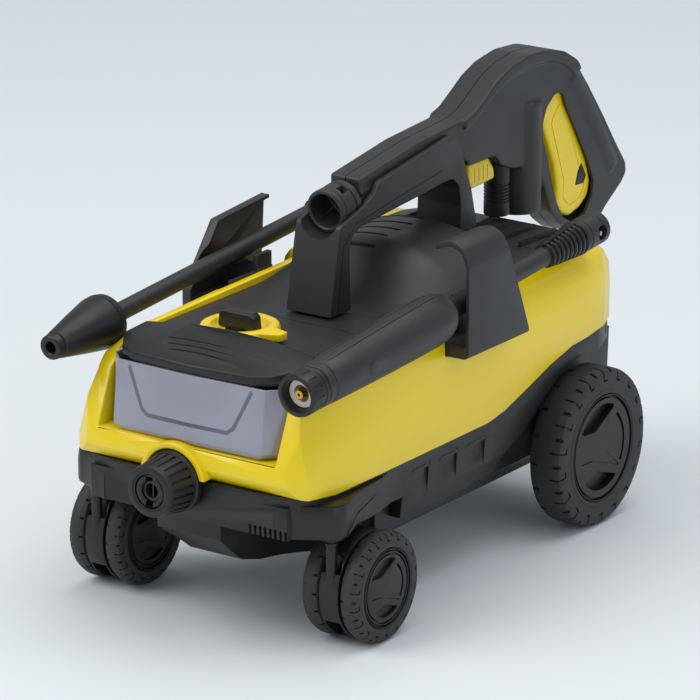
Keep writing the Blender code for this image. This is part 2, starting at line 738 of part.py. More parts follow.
def build_running_gear():
    """Rear wheels on a through axle, and two swivelling twin casters."""
    axle_end = REAR_INNER_X + REAR_WIDTH * 0.62
    paint(rod("rear_axle", REAR_AXLE_RADIUS, (-axle_end, REAR_Y, REAR_RADIUS),
              (axle_end, REAR_Y, REAR_RADIUS), 24), STEEL)
    for name, side in (("rear_right", 1), ("rear_left", -1)):
        wheel(name, REAR_RADIUS, REAR_HUB_RADIUS, REAR_WIDTH, REAR_INNER_X, REAR_Y, side,
              REAR_AXLE_RADIUS + RUN, 48)
    for name, side in (("right", 1), ("left", -1)):
        build_caster(name, side)


def build_caster(name, side):
    """Fork between two wheels, with a vertical stem ahead of the axle."""
    x = side * CASTER_X
    half = CASTER_FORK_WIDTH / 2
    centre = (CASTER_Y, CASTER_RADIUS)
    disc = CASTER_RADIUS * 0.965
    outline = arc(centre, disc, 20, 342, 44)
    outline += [(CASTER_Y + disc * 0.50, CASTER_RADIUS - disc * 0.10),
                (CASTER_Y + disc * 0.50, CASTER_RADIUS + disc * 0.18)]
    fork = plate("caster_%s_fork" % name, outline, x - half, x + half)
    top = CEILING_Z - 0.0016
    join(fork, rod("fork_post_" + name, half * 0.86, (x, PIVOT_Y, 0.0420), (x, PIVOT_Y, top), 24))
    stem_start = (x, PIVOT_Y, top - 0.0040)
    join(fork, rod("fork_stem_" + name, CASTER_STEM_RADIUS, stem_start, (x, PIVOT_Y, 0.1170), 24))
    bore = CASTER_AXLE_RADIUS + RUN
    cut(fork, rod("fork_bore_" + name, bore, (x - 0.05, *centre), (x + 0.05, *centre), 24))
    paint(fork, BLACK)
    reach = half + RUN + CASTER_WHEEL_WIDTH * 0.66
    axle = rod("caster_%s_axle" % name, CASTER_AXLE_RADIUS, (x - reach, *centre), (x + reach, *centre), 24)
    paint(axle, STEEL)
    for place, way in (("outer", side), ("inner", -side)):
        inner_x = abs(CASTER_X * (1 if way == side else -1) + half + RUN)
        wheel("caster_%s_%s" % (name, place), CASTER_RADIUS, CASTER_HUB_RADIUS, CASTER_WHEEL_WIDTH,
              inner_x if way == side else -(CASTER_X - half - RUN), CASTER_Y, way, bore, 36)


# ---- tank, lid, switch ----------------------------------------------------------------
def tank_plan(grow):
    """Plan of the tank, front corners cut back."""
    return mirrored([
        (0.0, BODY_FRONT + 0.0005 - grow),
        (TANK_HALF - 0.0140 + grow, BODY_FRONT + 0.0035 - grow * 0.6),
        (TANK_HALF + grow, BODY_FRONT + 0.0210),
        (TANK_HALF + grow, TANK_BACK + grow),
        (0.0, TANK_BACK + grow),
    ])


def build_tank():
    """The smoked detergent tank and the black lid over it."""
    rings = []
    levels = ((TANK_BOTTOM, -0.0040, 0.0), (TANK_BOTTOM + 0.0050, 0.0, 0.0), (TANK_TOP, 0.0, 0.0065))
    for z, grow, lean in levels:
        ring = []
        for x, y in tank_plan(grow):
            share = min(max((TANK_BACK - y) / (TANK_BACK - BODY_FRONT), 0.0), 1.0)
            ring.append((x, y + lean * share, z))
        rings.append(ring)
    tank = loft("detergent_tank", rings)
    room = [
        (-TANK_HALF + TANK_WALL, TANK_BACK - TANK_WALL), (-TANK_HALF + TANK_WALL, BODY_FRONT + 0.0240),
        (-TANK_HALF + 0.0150, BODY_FRONT + 0.0120), (TANK_HALF - 0.0150, BODY_FRONT + 0.0120),
        (TANK_HALF - TANK_WALL, BODY_FRONT + 0.0240), (TANK_HALF - TANK_WALL, TANK_BACK - TANK_WALL),
    ]
    cut(tank, plate("tank_room", room, TANK_BOTTOM + TANK_WALL + 0.0090, 0.30, "plan"))
    notch = OUTLET_BASE_RADIUS + 0.0012 + ARCH_WALL + 0.0008
    cut(tank, rod("tank_notch", notch, (OUTLET_X, -0.30, OUTLET_Z), (OUTLET_X, -0.10, OUTLET_Z), 48))
    paint(tank, SMOKE)
    lid_outline = [
        (0.0, -0.2395), (0.0600, -0.2365), (0.0740, -0.2310), (0.0895, -0.2090), (0.0850, LID_BACK - 0.0010),
        (0.0400, LID_BACK + 0.0004), (0.0, LID_BACK + 0.0008),
    ]
    bottom = TANK_TOP + GAP
    rings = []
    for level in range(2):
        ring = []
        for x, y in mirrored(lid_outline):
            share = (y + 0.2395) / (LID_BACK + 0.2395)
            rise = 0.0080 + 0.0080 * share + 0.0075 * share * (1 - (x / 0.09) ** 2)
            ring.append((x, y, bottom + rise * level))
        rings.append(ring)
    lid = loft("tank_lid", rings)
    round_edges(lid, 0.0015)
    paint(move_origin(lid, (0, LID_BACK + 0.0020, LID_HINGE_Z)), BLACK)


def build_switch():
    """Rotary mains switch: yellow ring with a pointer, black grip bar, switch box below."""
    low = DIAL_Z - 0.0045
    ring_profile = [
        (DIAL_RADIUS * 0.70, 0.0080), (DIAL_RADIUS - 0.0030, 0.0080), (DIAL_RADIUS, 0.0050),
        (DIAL_RADIUS, 0.0), (0.0120, 0.0), (0.0120, 0.0030), (DIAL_RADIUS * 0.60, 0.0030),
    ]
    ring = turned("switch_ring", ring_profile, (DIAL_X, DIAL_Y, low), steps=48, closed=True)
    tab = [
        (DIAL_X + DIAL_RADIUS * 0.80, DIAL_Y - 0.0130), (DIAL_X + DIAL_RADIUS + 0.0125, DIAL_Y - 0.0060),
        (DIAL_X + DIAL_RADIUS + 0.0125, DIAL_Y + 0.0020), (DIAL_X + DIAL_RADIUS * 0.80, DIAL_Y + 0.0100),
    ]
    join(ring, plate("switch_pointer", tab, low + 0.0020, low + 0.0070, "plan"))
    paint(ring, YELLOW)
    bar = [
        (DIAL_X - DIAL_RADIUS * 0.55, DIAL_Y - 0.0060), (DIAL_X + DIAL_RADIUS * 0.55, DIAL_Y - 0.0060),
        (DIAL_X + DIAL_RADIUS * 0.55, DIAL_Y + 0.0060), (DIAL_X - DIAL_RADIUS * 0.55, DIAL_Y + 0.0060),
    ]
    knob = plate("switch_knob", bar, low + 0.0034, low + 0.0180, "plan")
    join(knob, rod("switch_stem", 0.0080, (DIAL_X, DIAL_Y, 0.2150), (DIAL_X, DIAL_Y, low + 0.0050), 24))
    paint(knob, BLACK)
    house = box("switch_box", (DIAL_X - 0.0270, DIAL_Y - 0.0250, 0.1800),
                (DIAL_X + 0.0270, DIAL_Y + 0.0250, 0.2220))
    cut(house, rod("switch_bore", 0.0080 + RUN, (DIAL_X, DIAL_Y, 0.2140), (DIAL_X, DIAL_Y, 0.23), 24))
    paint(house, BLACK)


# ---- outlet, inlet, gland -------------------------------------------------------------
def build_connectors():
    """The turning outlet collar round its bayonet socket, the water inlet, the cord gland."""
    depth = OUTLET_LENGTH
    reach = OUTLET_FRONT + depth
    collar_profile = [
        (0.0145, depth), (OUTLET_BASE_RADIUS - 0.0020, depth), (OUTLET_BASE_RADIUS, depth - 0.0060),
        (OUTLET_BASE_RADIUS - 0.0010, depth - 0.0120), (OUTLET_RADIUS, 0.0040), (OUTLET_RADIUS - 0.0030, 0.0),
        (0.0145, 0.0),
    ]
    face = (OUTLET_X, OUTLET_FRONT, OUTLET_Z)
    collar = turned("outlet_collar", collar_profile, face, (0, 1, 0), 40, closed=True)
    paint(collar, BLACK)
    socket = rod("outlet_socket", 0.0140, (OUTLET_X, OUTLET_FRONT + 0.0010, OUTLET_Z),
                 (OUTLET_X, reach + 0.0250, OUTLET_Z), 32)
    well = rod("outlet_well", 0.0085, (OUTLET_X, OUTLET_FRONT - 0.01, OUTLET_Z),
               (OUTLET_X, OUTLET_FRONT + 0.0300, OUTLET_Z), 24)
    slot = box("outlet_slot", (OUTLET_X - 0.0040, OUTLET_FRONT - 0.01, OUTLET_Z - 0.0125),
               (OUTLET_X + 0.0040, OUTLET_FRONT + 0.0060, OUTLET_Z + 0.0125))
    cut(socket, well, slot)
    paint(socket, BLACK)
    inlet = [
        (0.0040, 0.0420), (0.0080, 0.0420), (0.0095, 0.0380), (0.0080, 0.0340), (0.0095, 0.0290),
        (0.0080, 0.0240), (0.0160, 0.0200), (0.0160, 0.0130), (0.0120, 0.0130), (0.0120, 0.0), (0.0040, 0.0),
    ]
    paint(turned("water_inlet", inlet, (-0.0450, 0.2290, 0.1150), (0, 1, 0), 20, closed=True), BLACK)
    gland = [
        (0.0040, 0.0300), (0.0060, 0.0300), (0.0095, 0.0170), (0.0110, 0.0160), (0.0110, 0.0130),
        (0.0080, 0.0130), (0.0080, 0.0), (0.0040, 0.0),
    ]
    paint(turned("cord_gland", gland, (0.0450, 0.2290, 0.1150), (0, 1, 0), 24, closed=True), BLACK)


def build_drive():
    """Motor and pump inside the body."""
    middle = 0.1330
    case = [(0.0, 0.1340), (0.0300, 0.1340), (0.0460, 0.1220), (0.0460, 0.0080), (0.0380, 0.0), (0.0, 0.0)]
    motor = turned("motor", case, (0, -0.0740, middle), (0, 1, 0), 40)
    paint(motor, STEEL)
    head = plate("pump_head", [(-0.0550, 0.1050), (0.0300, 0.1050), (0.0420, 0.1180), (0.0420, 0.1500),
                               (0.0280, 0.1640), (-0.0280, 0.1640), (-0.0550, 0.1450)],
                 -0.1500, -0.0746, "front", bevel=0.0030)
    pipe_end = OUTLET_FRONT + OUTLET_LENGTH + 0.0250 + GAP
    join(head, rod("pump_outlet", 0.0090, (OUTLET_X, pipe_end, OUTLET_Z), (OUTLET_X, -0.1450, OUTLET_Z), 24))
    paint(head, ALUMINIUM)


# ---- trigger gun ----------------------------------------------------------------------
GUN_OUTLINE = [
    (-0.0215, 0.3345), (0.0590, 0.3470), (0.1240, 0.3520), (0.1440, 0.3560), (0.1600, 0.3655),
    (0.1800, 0.3775), (0.2000, 0.3850), (0.2300, 0.3895), (0.2630, 0.3875), (0.2870, 0.3805),
    (0.3080, 0.3690), (0.3310, 0.3420), (0.3580, 0.3070), (0.3790, 0.2780), (0.3960, 0.2560),
    (GUN_HEEL_Y, 0.2470), (0.3900, 0.2380), (0.3630, 0.2205), (0.3530, 0.2120), (0.3290, 0.2070),
    (0.3040, 0.2100),
    (0.2870, 0.2220), (0.2710, 0.2380), (0.2640, 0.2540), (0.2560, 0.2710), (0.2500, 0.2860),
    (0.2100, 0.2900), (0.1900, 0.2980), (0.1820, 0.3080), (0.1420, 0.3080), (0.1300, 0.3180),
    (0.1220, 0.3275), (0.0600, 0.3205), (-0.0215, 0.3085),
]
GRIP_HOLE = [
    (0.2755, 0.3440), (0.2620, 0.3340), (0.2560, 0.3200), (0.2580, 0.3040), (0.2660, 0.2840),
    (0.2730, 0.2620), (0.2810, 0.2430), (0.2900, 0.2285), (0.3060, 0.2195), (0.3270, 0.2225),
    (0.3390, 0.2370), (0.3410, 0.2510), (0.3290, 0.2740), (0.3110, 0.3030), (0.2940, 0.3290),
    (0.2880, 0.3430),
]
TRIGGER_PIVOT = (0.2790, 0.3480)
TRIGGER_OUTLINE = [
    (0.2740, 0.3530), (0.2670, 0.3420), (0.2620, 0.3300), (0.2615, 0.3200), (0.2710, 0.3010),
    (0.2830, 0.2750), (0.2875, 0.2540), (0.2860, 0.2380), (0.2960, 0.2290), (0.3080, 0.2240),
    (0.3250, 0.2280), (0.3380, 0.2360), (0.3420, 0.2500), (0.3340, 0.2740), (0.3180, 0.3020),
    (0.3010, 0.3300), (0.2920, 0.3480), (0.2860, 0.3540),
]
TRIGGER_ROOM = [
    (0.2680, 0.3570), (0.2600, 0.3400), (0.2540, 0.3200), (0.2640, 0.2980), (0.2770, 0.2650),
    (0.2810, 0.2430), (0.2900, 0.2285), (0.3060, 0.2185), (0.3400, 0.2185), (0.3600, 0.2330),
    (0.3580, 0.2560), (0.3450, 0.2830),
    (0.3250, 0.3130), (0.3060, 0.3440), (0.2920, 0.3600), (0.2780, 0.3620),
]


def build_gun():
    """Two housing halves with the muzzle, valve, hose socket, trigger, lock and clip."""
    room = TRIGGER_HALF + TRIGGER_SIDE_GAP
    for name, side in (("gun_shell_right", 1), ("gun_shell_left", -1)):
        shell = plate(name, GUN_OUTLINE, -GUN_HALF, GUN_HALF)
        join(shell, rod(name + "_bulge", VALVE_RADIUS, (0, VALVE_Y, 0.2430), (0, VALVE_Y, 0.3350), 36))
        for flank in (-1, 1):
            sides = sorted((flank * BARREL_HALF, flank * 0.05))
            slim = box(name + "_slim_%d" % (flank + 1), (sides[0], -0.10, 0.25), (sides[1], 0.1290, 0.42))
            cut(shell, slim)
        cut(shell, plate(name + "_hole", GRIP_HOLE, -0.05, 0.05))
        cut(shell, plate(name + "_slot", TRIGGER_ROOM, -room, room))
        edges = sorted((side * GAP / 2, side * 0.0450))
        half_box = box(name + "_half", (edges[0], -0.20, 0.11), (edges[1], 0.49, 0.50))
        boolean(shell, half_box, "INTERSECT")
        cut(shell, rod(name + "_valve_room", 0.0130, (0, VALVE_Y, 0.2550), (0, VALVE_Y, 0.3300), 24))
        socket_room = rod(name + "_socket_room", SOCKET_RADIUS + GAP, (0, SOCKET_Y, 0.2300),
                          (0, SOCKET_Y, 0.3200), 24)
        cut(shell, socket_room)
        cut(shell, box(name + "_way", (-0.0060, 0.2100, 0.3040), (0.0060, 0.2400, 0.3160)))
        paint(shell, GREY)
    pin = rod("trigger_pin", 0.0020, (-0.0150, *TRIGGER_PIVOT), (0.0150, *TRIGGER_PIVOT), 16)
    for name in ("gun_shell_right", "gun_shell_left"):
        bore = rod(name + "_pin_bore", 0.0020 + GAP, (-0.0155, *TRIGGER_PIVOT), (0.0155, *TRIGGER_PIVOT), 16)
        cut(bpy.data.objects[name], bore)
    paint(pin, STEEL)
    muzzle_back = 0.0280
    profile = [
        (0.0145, muzzle_back), (MUZZLE_RADIUS - 0.0010, muzzle_back), (MUZZLE_RADIUS, muzzle_back - 0.0010),
        (MUZZLE_RADIUS, 0.0015), (MUZZLE_RADIUS - 0.0015, 0.0), (0.0145, 0.0),
    ]
    muzzle = turned("gun_muzzle", profile, (0, MUZZLE_Y, MUZZLE_Z), BARREL_WAY, 40, closed=True)
    paint(muzzle, GREY)
    valve = rod("gun_valve", 0.0125, (0, VALVE_Y, 0.2560), (0, VALVE_Y, 0.3280), 24)
    paint(valve, BRASS)
    profile = [
        (0.0070, 0.0680), (SOCKET_RADIUS, 0.0680), (SOCKET_RADIUS, 0.0), (0.0070, 0.0),
    ]
    paint(turned("gun_socket", profile, (0, SOCKET_Y, 0.2480), steps=32, closed=True), BLACK)
    trigger = plate("trigger", TRIGGER_OUTLINE, -TRIGGER_HALF, TRIGGER_HALF, bevel=0.0030)
    cut(trigger, rod("trigger_bore", 0.0020 + RUN, (-0.03, *TRIGGER_PIVOT), (0.03, *TRIGGER_PIVOT), 16))
    lock_outline = [(0.3170, 0.2520), (0.3300, 0.2510), (0.3330, 0.2560), (0.3260, 0.2680), (0.3210, 0.2620)]
    lock_hole = [(0.3163, 0.2513), (0.3304, 0.2502), (0.3337, 0.2561), (0.3260, 0.2691), (0.3205, 0.2625)]
    cut(trigger, plate("lock_hole", lock_hole, -0.03, 0.03))
    paint(move_origin(trigger, (0, *TRIGGER_PIVOT)), YELLOW)
    lock_low = -TRIGGER_HALF - 0.0005 + LOCK_TRAVEL
    paint(plate("trigger_lock", lock_outline, lock_low, TRIGGER_HALF + 0.0005), GREY)
    clip = [(0.1500, 0.2840), (0.1900, 0.2860), (0.1885, 0.2960), (0.1800, 0.3070), (0.1480, 0.3070)]
    paint(plate("hose_clip", clip, -0.0100, 0.0100, bevel=0.0015), YELLOW)


# ---- lances ---------------------------------------------------------------------------
def lance_rear(prefix, side):
    """The ribbed grip and the bayonet end that both lances share."""
    start = lance_point(0.0980, side)
    ribs = [(LANCE_TUBE_RADIUS + GAP, 0.0520)]
    steps = 6
    pitch = 0.0520 / steps
    for index in range(steps, 0, -1):
        radius = 0.0095 + (LANCE_GRIP_RADIUS - 0.0095) * index / steps
        far = pitch * index
        ribs += [(radius, far), (radius, far - pitch * 0.45), (radius - 0.0016, far - pitch * 0.45),
                 (radius - 0.0016, far - pitch)]
    ribs.append((LANCE_TUBE_RADIUS + GAP, 0.0))
    paint(turned(prefix + "_grip", ribs, start, LANCE_WAY, 20, closed=True), BLACK)
    end = lance_point(0.1505, side)
    profile = [
        (0.0, 0.0360), (0.0100, 0.0360), (LANCE_GRIP_RADIUS - 0.0005, 0.0310),
        (LANCE_GRIP_RADIUS - 0.0005, 0.0), (0.0, 0.0),
    ]
    bayonet = turned(prefix + "_bayonet", profile, end, LANCE_WAY, 32)
    window_low = lance_point(0.1620, side)
    window = box(prefix + "_window", (window_low.x - 0.03, 0.1640, window_low.z - 0.0050),
                 (window_low.x + 0.03, 0.1760, window_low.z + 0.0070))
    cut(bayonet, window)
    paint(bayonet, GREY)


def build_right_lance():
    """Adjustable flat-jet lance: turning nose collar, nozzle insert, moulded body, tube."""
    nose = lance_point(LANCE_FRONT)
    collar_profile = [
        (0.0125, 0.0230), (0.0180, 0.0230), (0.0180, 0.0010), (0.0170, 0.0), (0.0135, 0.0), (0.0125, 0.0080),
    ]
    paint(turned("lance_right_collar", collar_profile, nose, LANCE_WAY, 40, closed=True), BLACK)
    insert = [(0.0, 0.0040), (0.0040, 0.0040), (0.0070, 0.0100), (0.0070, 0.0225), (0.0, 0.0225)]
    insert = [(r, s) for r, s in reversed(insert)]
    paint(turned("lance_right_nozzle", insert, nose, LANCE_WAY, 32), BRASS)
    body_start = lance_point(LANCE_FRONT + 0.0236)
    body_length = 0.1900
    body = [
        (0.0, body_length), (LANCE_TUBE_RADIUS, body_length), (0.0160, body_length - 0.0060),
        (0.0205, body_length - 0.0150), (LANCE_BODY_RADIUS, body_length - 0.0300),
        (0.0205, body_length * 0.40), (0.0183, 0.0), (0.0, 0.0),
    ]
    paint(turned("lance_right_body", body, body_start, LANCE_WAY, 40), GREY)
    tube_start = body_start + LANCE_WAY * (body_length + GAP)
    tube_end = lance_point(0.1500)
    paint(rod("lance_right_tube", LANCE_TUBE_RADIUS, tube_start, tube_end, 24), GREY)
    lance_rear("lance_right", 1)


def build_left_lance():
    """Rotary-nozzle lance: hollow cone with its rotor, tube."""
    nose = lance_point(LANCE_FRONT - 0.0100, -1)
    length = 0.0780
    profile = [
        (0.0085, length), (0.0150, length), (LANCE_CONE_RADIUS - 0.0013, length - 0.0030),
        (LANCE_CONE_RADIUS, length - 0.0080), (LANCE_CONE_RADIUS, length - 0.0160), (0.0115, 0.0090),
        (0.0095, 0.0), (0.0050, 0.0), (0.0060, 0.0120),
        (0.0180, length - 0.0160), (0.0085, length - 0.0100),
    ]
    paint(turned("lance_left_cone", profile, nose, LANCE_WAY, 40, closed=True), BLACK)
    rotor = [(0.0, 0.0560), (0.0120, 0.0560), (0.0120, 0.0440), (0.0040, 0.0140), (0.0, 0.0140)]
    paint(turned("lance_left_rotor", rotor, nose, LANCE_WAY, 24), BRASS)
    tube_start = nose + LANCE_WAY * (length - 0.0050)
    paint(rod("lance_left_tube", LANCE_TUBE_RADIUS - 0.0006, tube_start, lance_point(0.1500, -1), 24), GREY)
    lance_rear("lance_left", -1)


build_chassis()
build_shell()
build_cover()
build_handle()
build_right_holder()
build_left_holder()
build_running_gear()
build_tank()
build_switch()
build_connectors()
build_drive()
build_gun()
build_right_lance()
build_left_lance()
bpy.context.view_layer.update()
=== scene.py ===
"""Finished pieces of a compact four-wheeled pressure washer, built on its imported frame.

Front is -Y and the machine's visible side is +X.
"""
import math

import bpy
from bpy.props import FloatProperty, FloatVectorProperty, IntProperty, PointerProperty
from mathutils import Matrix, Vector


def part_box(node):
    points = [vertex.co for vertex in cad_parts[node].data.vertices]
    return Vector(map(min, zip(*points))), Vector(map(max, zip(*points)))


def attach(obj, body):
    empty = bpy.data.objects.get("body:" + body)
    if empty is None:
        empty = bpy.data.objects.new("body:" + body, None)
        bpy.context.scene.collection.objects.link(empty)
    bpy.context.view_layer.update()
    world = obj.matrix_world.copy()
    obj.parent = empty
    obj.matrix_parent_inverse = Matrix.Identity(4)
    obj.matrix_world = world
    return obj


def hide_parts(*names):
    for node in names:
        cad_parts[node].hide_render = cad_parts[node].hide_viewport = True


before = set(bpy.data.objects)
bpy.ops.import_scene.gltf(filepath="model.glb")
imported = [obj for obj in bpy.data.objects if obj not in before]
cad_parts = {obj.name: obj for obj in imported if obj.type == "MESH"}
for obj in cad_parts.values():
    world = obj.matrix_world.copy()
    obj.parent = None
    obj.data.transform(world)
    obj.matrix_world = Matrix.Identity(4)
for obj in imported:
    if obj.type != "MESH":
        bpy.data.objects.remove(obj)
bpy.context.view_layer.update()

bl_info = {
    "name": "Compact pressure washer",
    "version": (1, 0, 0),
    "blender": (4, 5, 0),
    "location": "View3D > Sidebar > Washer",
    "description": "Builds the finished pieces of a four-wheeled pressure washer on its packed frame",
    "category": "Add Mesh",
}


# ---- places read from the frame -------------------------------------------------------
def box_of(node):
    """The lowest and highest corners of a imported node."""
    low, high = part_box(node)
    return Vector(low), Vector(high)


def centre_of(node):
    """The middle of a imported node's box."""
    low, high = box_of(node)
    return (low + high) / 2


REAR_AXLE = centre_of("rear_axle")
CASTER_AXLE = centre_of("caster_right_axle")
MIDDLE_Y = (REAR_AXLE.y + CASTER_AXLE.y) / 2
REAR_Y = REAR_AXLE.y - MIDDLE_Y
CASTER_Y = CASTER_AXLE.y - MIDDLE_Y
CASTER_X = CASTER_AXLE.x
CASTER_TRAIL = 0.0402      # from a caster's axle forward to its swivel
SWIVEL_Y = CASTER_Y - CASTER_TRAIL
LANCE_X = centre_of("lance_right_tube").x
LANCE_RISE = 0.0769        # climb of both lances per metre towards the rear
LANCE_HEIGHT = 0.2485      # height of their axes at the middle of the wheelbase
LANCE_WAY = Vector((0, 1, LANCE_RISE)).normalized()
BARREL_RISE = 0.12         # climb of the gun's barrel per metre towards the rear
BARREL_WAY = Vector((0, 1, BARREL_RISE)).normalized()
MUZZLE = Vector((0, -0.0510, 0.3110))
OUTLET = Vector((centre_of("outlet_collar").x, box_of("outlet_collar")[0].y - MIDDLE_Y,
                 centre_of("outlet_collar").z))
DIAL = Vector((centre_of("switch_box").x, centre_of("switch_box").y - MIDDLE_Y, 0.2285))


def linear(code):
    """A hex sRGB colour as the linear values that shaders take."""
    values = [int(code[i:i + 2], 16) / 255 for i in (1, 3, 5)]
    return [v / 12.92 if v <= 0.04045 else ((v + 0.055) / 1.055) ** 2.4 for v in values]


def tint(name, description, code):
    """A colour that the user can change."""
    return FloatVectorProperty(name=name, description=description, subtype="COLOR", size=3, min=0, max=1,
                               default=linear(code))


def length(name, description, default):
    """A length that the user can change."""
    return FloatProperty(name=name, description=description, default=default, min=0.0001, max=1,
                         unit="LENGTH")


class WasherColours(bpy.types.PropertyGroup):
    """Colours of the mouldings."""

    yellow: tint("Yellow", "Glossy body shell, switch ring, trigger and hose clip", "#F2D400")
    grey: tint("Housing grey", "Gun, handle, cover, holders and lances", "#2A2A2C")
    black: tint("Tub black", "Chassis, tank lid and hubs", "#161617")
    tyre: tint("Tyre grey", "Treads of all six wheels", "#2F2F30")
    smoke: tint("Tank smoke", "Smoked detergent tank", "#9C9DAD")
    steel: tint("Steel", "Axles and pins", "#B9BCC0")
    brass: tint("Brass", "Nozzle, rotor and valve", "#C9A35A")
    floor: tint("Floor", "Studio floor and backdrop", "#E4EAEE")


class WasherSizes(bpy.types.PropertyGroup):
    """Sizes of the fine detail."""

    edge: length("Edge rounding", "Radius of the edges of thick mouldings", 0.0030)
    crease: length("Crease rounding", "Radius of the edges of thin mouldings", 0.0010)
    seam: length("Seam", "Width of the line between two mouldings", 0.0009)
    grain: length("Grain", "Spacing of the moulded grain", 0.0012)
    treads: IntProperty(name="Tread blocks", description="Blocks round each tyre", default=18, min=6,
                        max=40)
    ribs: IntProperty(name="Grip ribs", description="Ribs on each lance grip", default=9, min=3, max=16)
    flutes: IntProperty(name="Collar flutes", description="Flutes round the outlet collar", default=22,
                        min=6, max=60)


def colours():
    """The colours set in the panel."""
    return bpy.context.scene.washer_colours


def sizes():
    """The sizes set in the panel."""
    return bpy.context.scene.washer_sizes


# ---- modelling by operators -----------------------------------------------------------
def only(*objs):
    """Select these objects and nothing else, in object mode."""
    if bpy.context.mode != "OBJECT":
        bpy.ops.object.mode_set(mode="OBJECT")
    bpy.ops.object.select_all(action="DESELECT")
    for obj in objs:
        obj.select_set(True)
    bpy.context.view_layer.objects.active = objs[0]


def add(name, primitive, **settings):
    """Add a primitive with nothing else selected."""
    if bpy.context.mode != "OBJECT":
        bpy.ops.object.mode_set(mode="OBJECT")
    bpy.ops.object.select_all(action="DESELECT")
    primitive(**settings)
    obj = bpy.context.active_object
    obj.name = name
    obj.data.name = name
    return obj


def edit_all(obj):
    """Enter edit mode with the whole mesh selected."""
    only(obj)
    bpy.ops.object.mode_set(mode="EDIT")
    bpy.ops.mesh.select_all(action="SELECT")


def modify(obj, kind, **settings):
    """Add a modifier with these settings and apply it."""
    mod = obj.modifiers.new(kind.lower(), kind)
    for key, value in settings.items():
        setattr(mod, key, value)
    only(obj)
    bpy.ops.object.modifier_apply(modifier=mod.name)
    return obj


def face_out(obj):
    """Merge doubles and turn every face outwards."""
    edit_all(obj)
    bpy.ops.mesh.remove_doubles(threshold=0.00001)
    bpy.ops.mesh.delete_loose()
    bpy.ops.mesh.select_all(action="SELECT")
    bpy.ops.mesh.normals_make_consistent(inside=False)
    bpy.ops.object.mode_set(mode="OBJECT")
    return obj


def outline(name, points, fill="NGON"):
    """A face or wire through these points, started as a circle with as many corners."""
    obj = add(name, bpy.ops.mesh.primitive_circle_add, vertices=len(points), fill_type=fill)
    for vertex, place in zip(obj.data.vertices, points):
        vertex.co = place
    return obj


def extruded(name, points, vector):
    """A face through the points, extruded along the vector."""
    obj = outline(name, points)
    edit_all(obj)
    bpy.ops.mesh.extrude_region_move(TRANSFORM_OT_translate={"value": tuple(vector)})
    return face_out(obj)


def slab(name, points, low, high, plane="side"):
    """A flat outline given thickness: "side" holds (y, z), "front" (x, z) and "plan" (x, y)."""
    axis = {"side": 0, "front": 1, "plan": 2}[plane]
    places = []
    for point in points:
        place = list(point[:2])
        place.insert(axis, low)
        places.append(place)
    vector = [0, 0, 0]
    vector[axis] = high - low
    return extruded(name, places, vector)


def turned(name, profile, place, way, steps=64):
    """A closed profile of (radius, distance along the axis) spun right round."""
    way = Vector(way).normalized()
    side = Vector((1, 0, 0)) if abs(way.x) < 0.5 else Vector((0, 0, 1))
    points = [Vector(place) + way * along + side * radius for radius, along in profile]
    obj = outline(name, points, "NOTHING")
    edit_all(obj)
    bpy.ops.mesh.spin(steps=steps, angle=math.tau, center=tuple(place), axis=tuple(way))
    return face_out(obj)


def block(name, low, high):
    """A cutter or core between two corners."""
    centre = [(low[i] + high[i]) / 2 for i in range(3)]
    obj = add(name, bpy.ops.mesh.primitive_cube_add, size=1, location=centre)
    obj.scale = [high[i] - low[i] for i in range(3)]
    return settle(obj)


def bar(name, radius, start, end, steps=32, end_radius=None):
    """A round bar or cone between two points."""
    start = Vector(start)
    end = Vector(end)
    turn = Vector((0, 0, 1)).rotation_difference(end - start).to_euler()
    far = radius if end_radius is None else end_radius
    obj = add(name, bpy.ops.mesh.primitive_cone_add, vertices=steps, radius1=radius, radius2=far,
              depth=(end - start).length, location=(start + end) / 2, rotation=turn)
    return settle(obj)


def settle(obj):
    """Put the object's place, turn and scale into its mesh."""
    only(obj)
    bpy.ops.object.transform_apply(location=True, rotation=True, scale=True)
    return obj


def moved(obj, matrix):
    """Apply a matrix to the mesh and keep its faces outwards."""
    obj.matrix_world = matrix @ obj.matrix_world
    settle(obj)
    if matrix.determinant() < 0:
        face_out(obj)
    return obj


def copied(obj, name, matrix=None):
    """A copy with a mesh of its own, moved by the matrix."""
    only(obj)
    bpy.ops.object.duplicate(linked=False)
    twin = bpy.context.active_object
    twin.name = name
    twin.data.name = name
    return moved(twin, matrix) if matrix else twin


def joined(name, objs):
    """Several meshes in one object."""
    only(*objs)
    if len(objs) > 1:
        bpy.ops.object.join()
    obj = bpy.context.active_object
    obj.name = name
    obj.data.name = name
    return obj


def around(piece, centre, count, shift=0.0, axis="X"):
    """Copies of a cutter turned round an axis through the centre, joined in one object."""
    pieces = []
    for index in range(count):
        turn = Matrix.Rotation(math.tau * (index + shift) / count, 4, axis)
        place = Matrix.Translation(centre) @ turn @ Matrix.Translation(-centre)
        pieces.append(copied(piece, piece.name + "_copy", place))
    bpy.data.objects.remove(piece, do_unlink=True)
    return joined("ring_of_cuts", pieces)


def combine(target, tool, operation="DIFFERENCE"):
    """Cut, join or keep what two closed meshes share, and remove the tool."""
    modify(target, "BOOLEAN", operation=operation, object=tool, solver="EXACT", use_self=False)
    bpy.data.objects.remove(tool, do_unlink=True)
    return target


def carve(target, *tools):
    """Cut each tool from the target."""
    for tool in tools:
        combine(target, tool)
    return target


def build_up(target, *tools):
    """Join each tool to the target."""
    for tool in tools:
        combine(target, tool, "UNION")
    return target


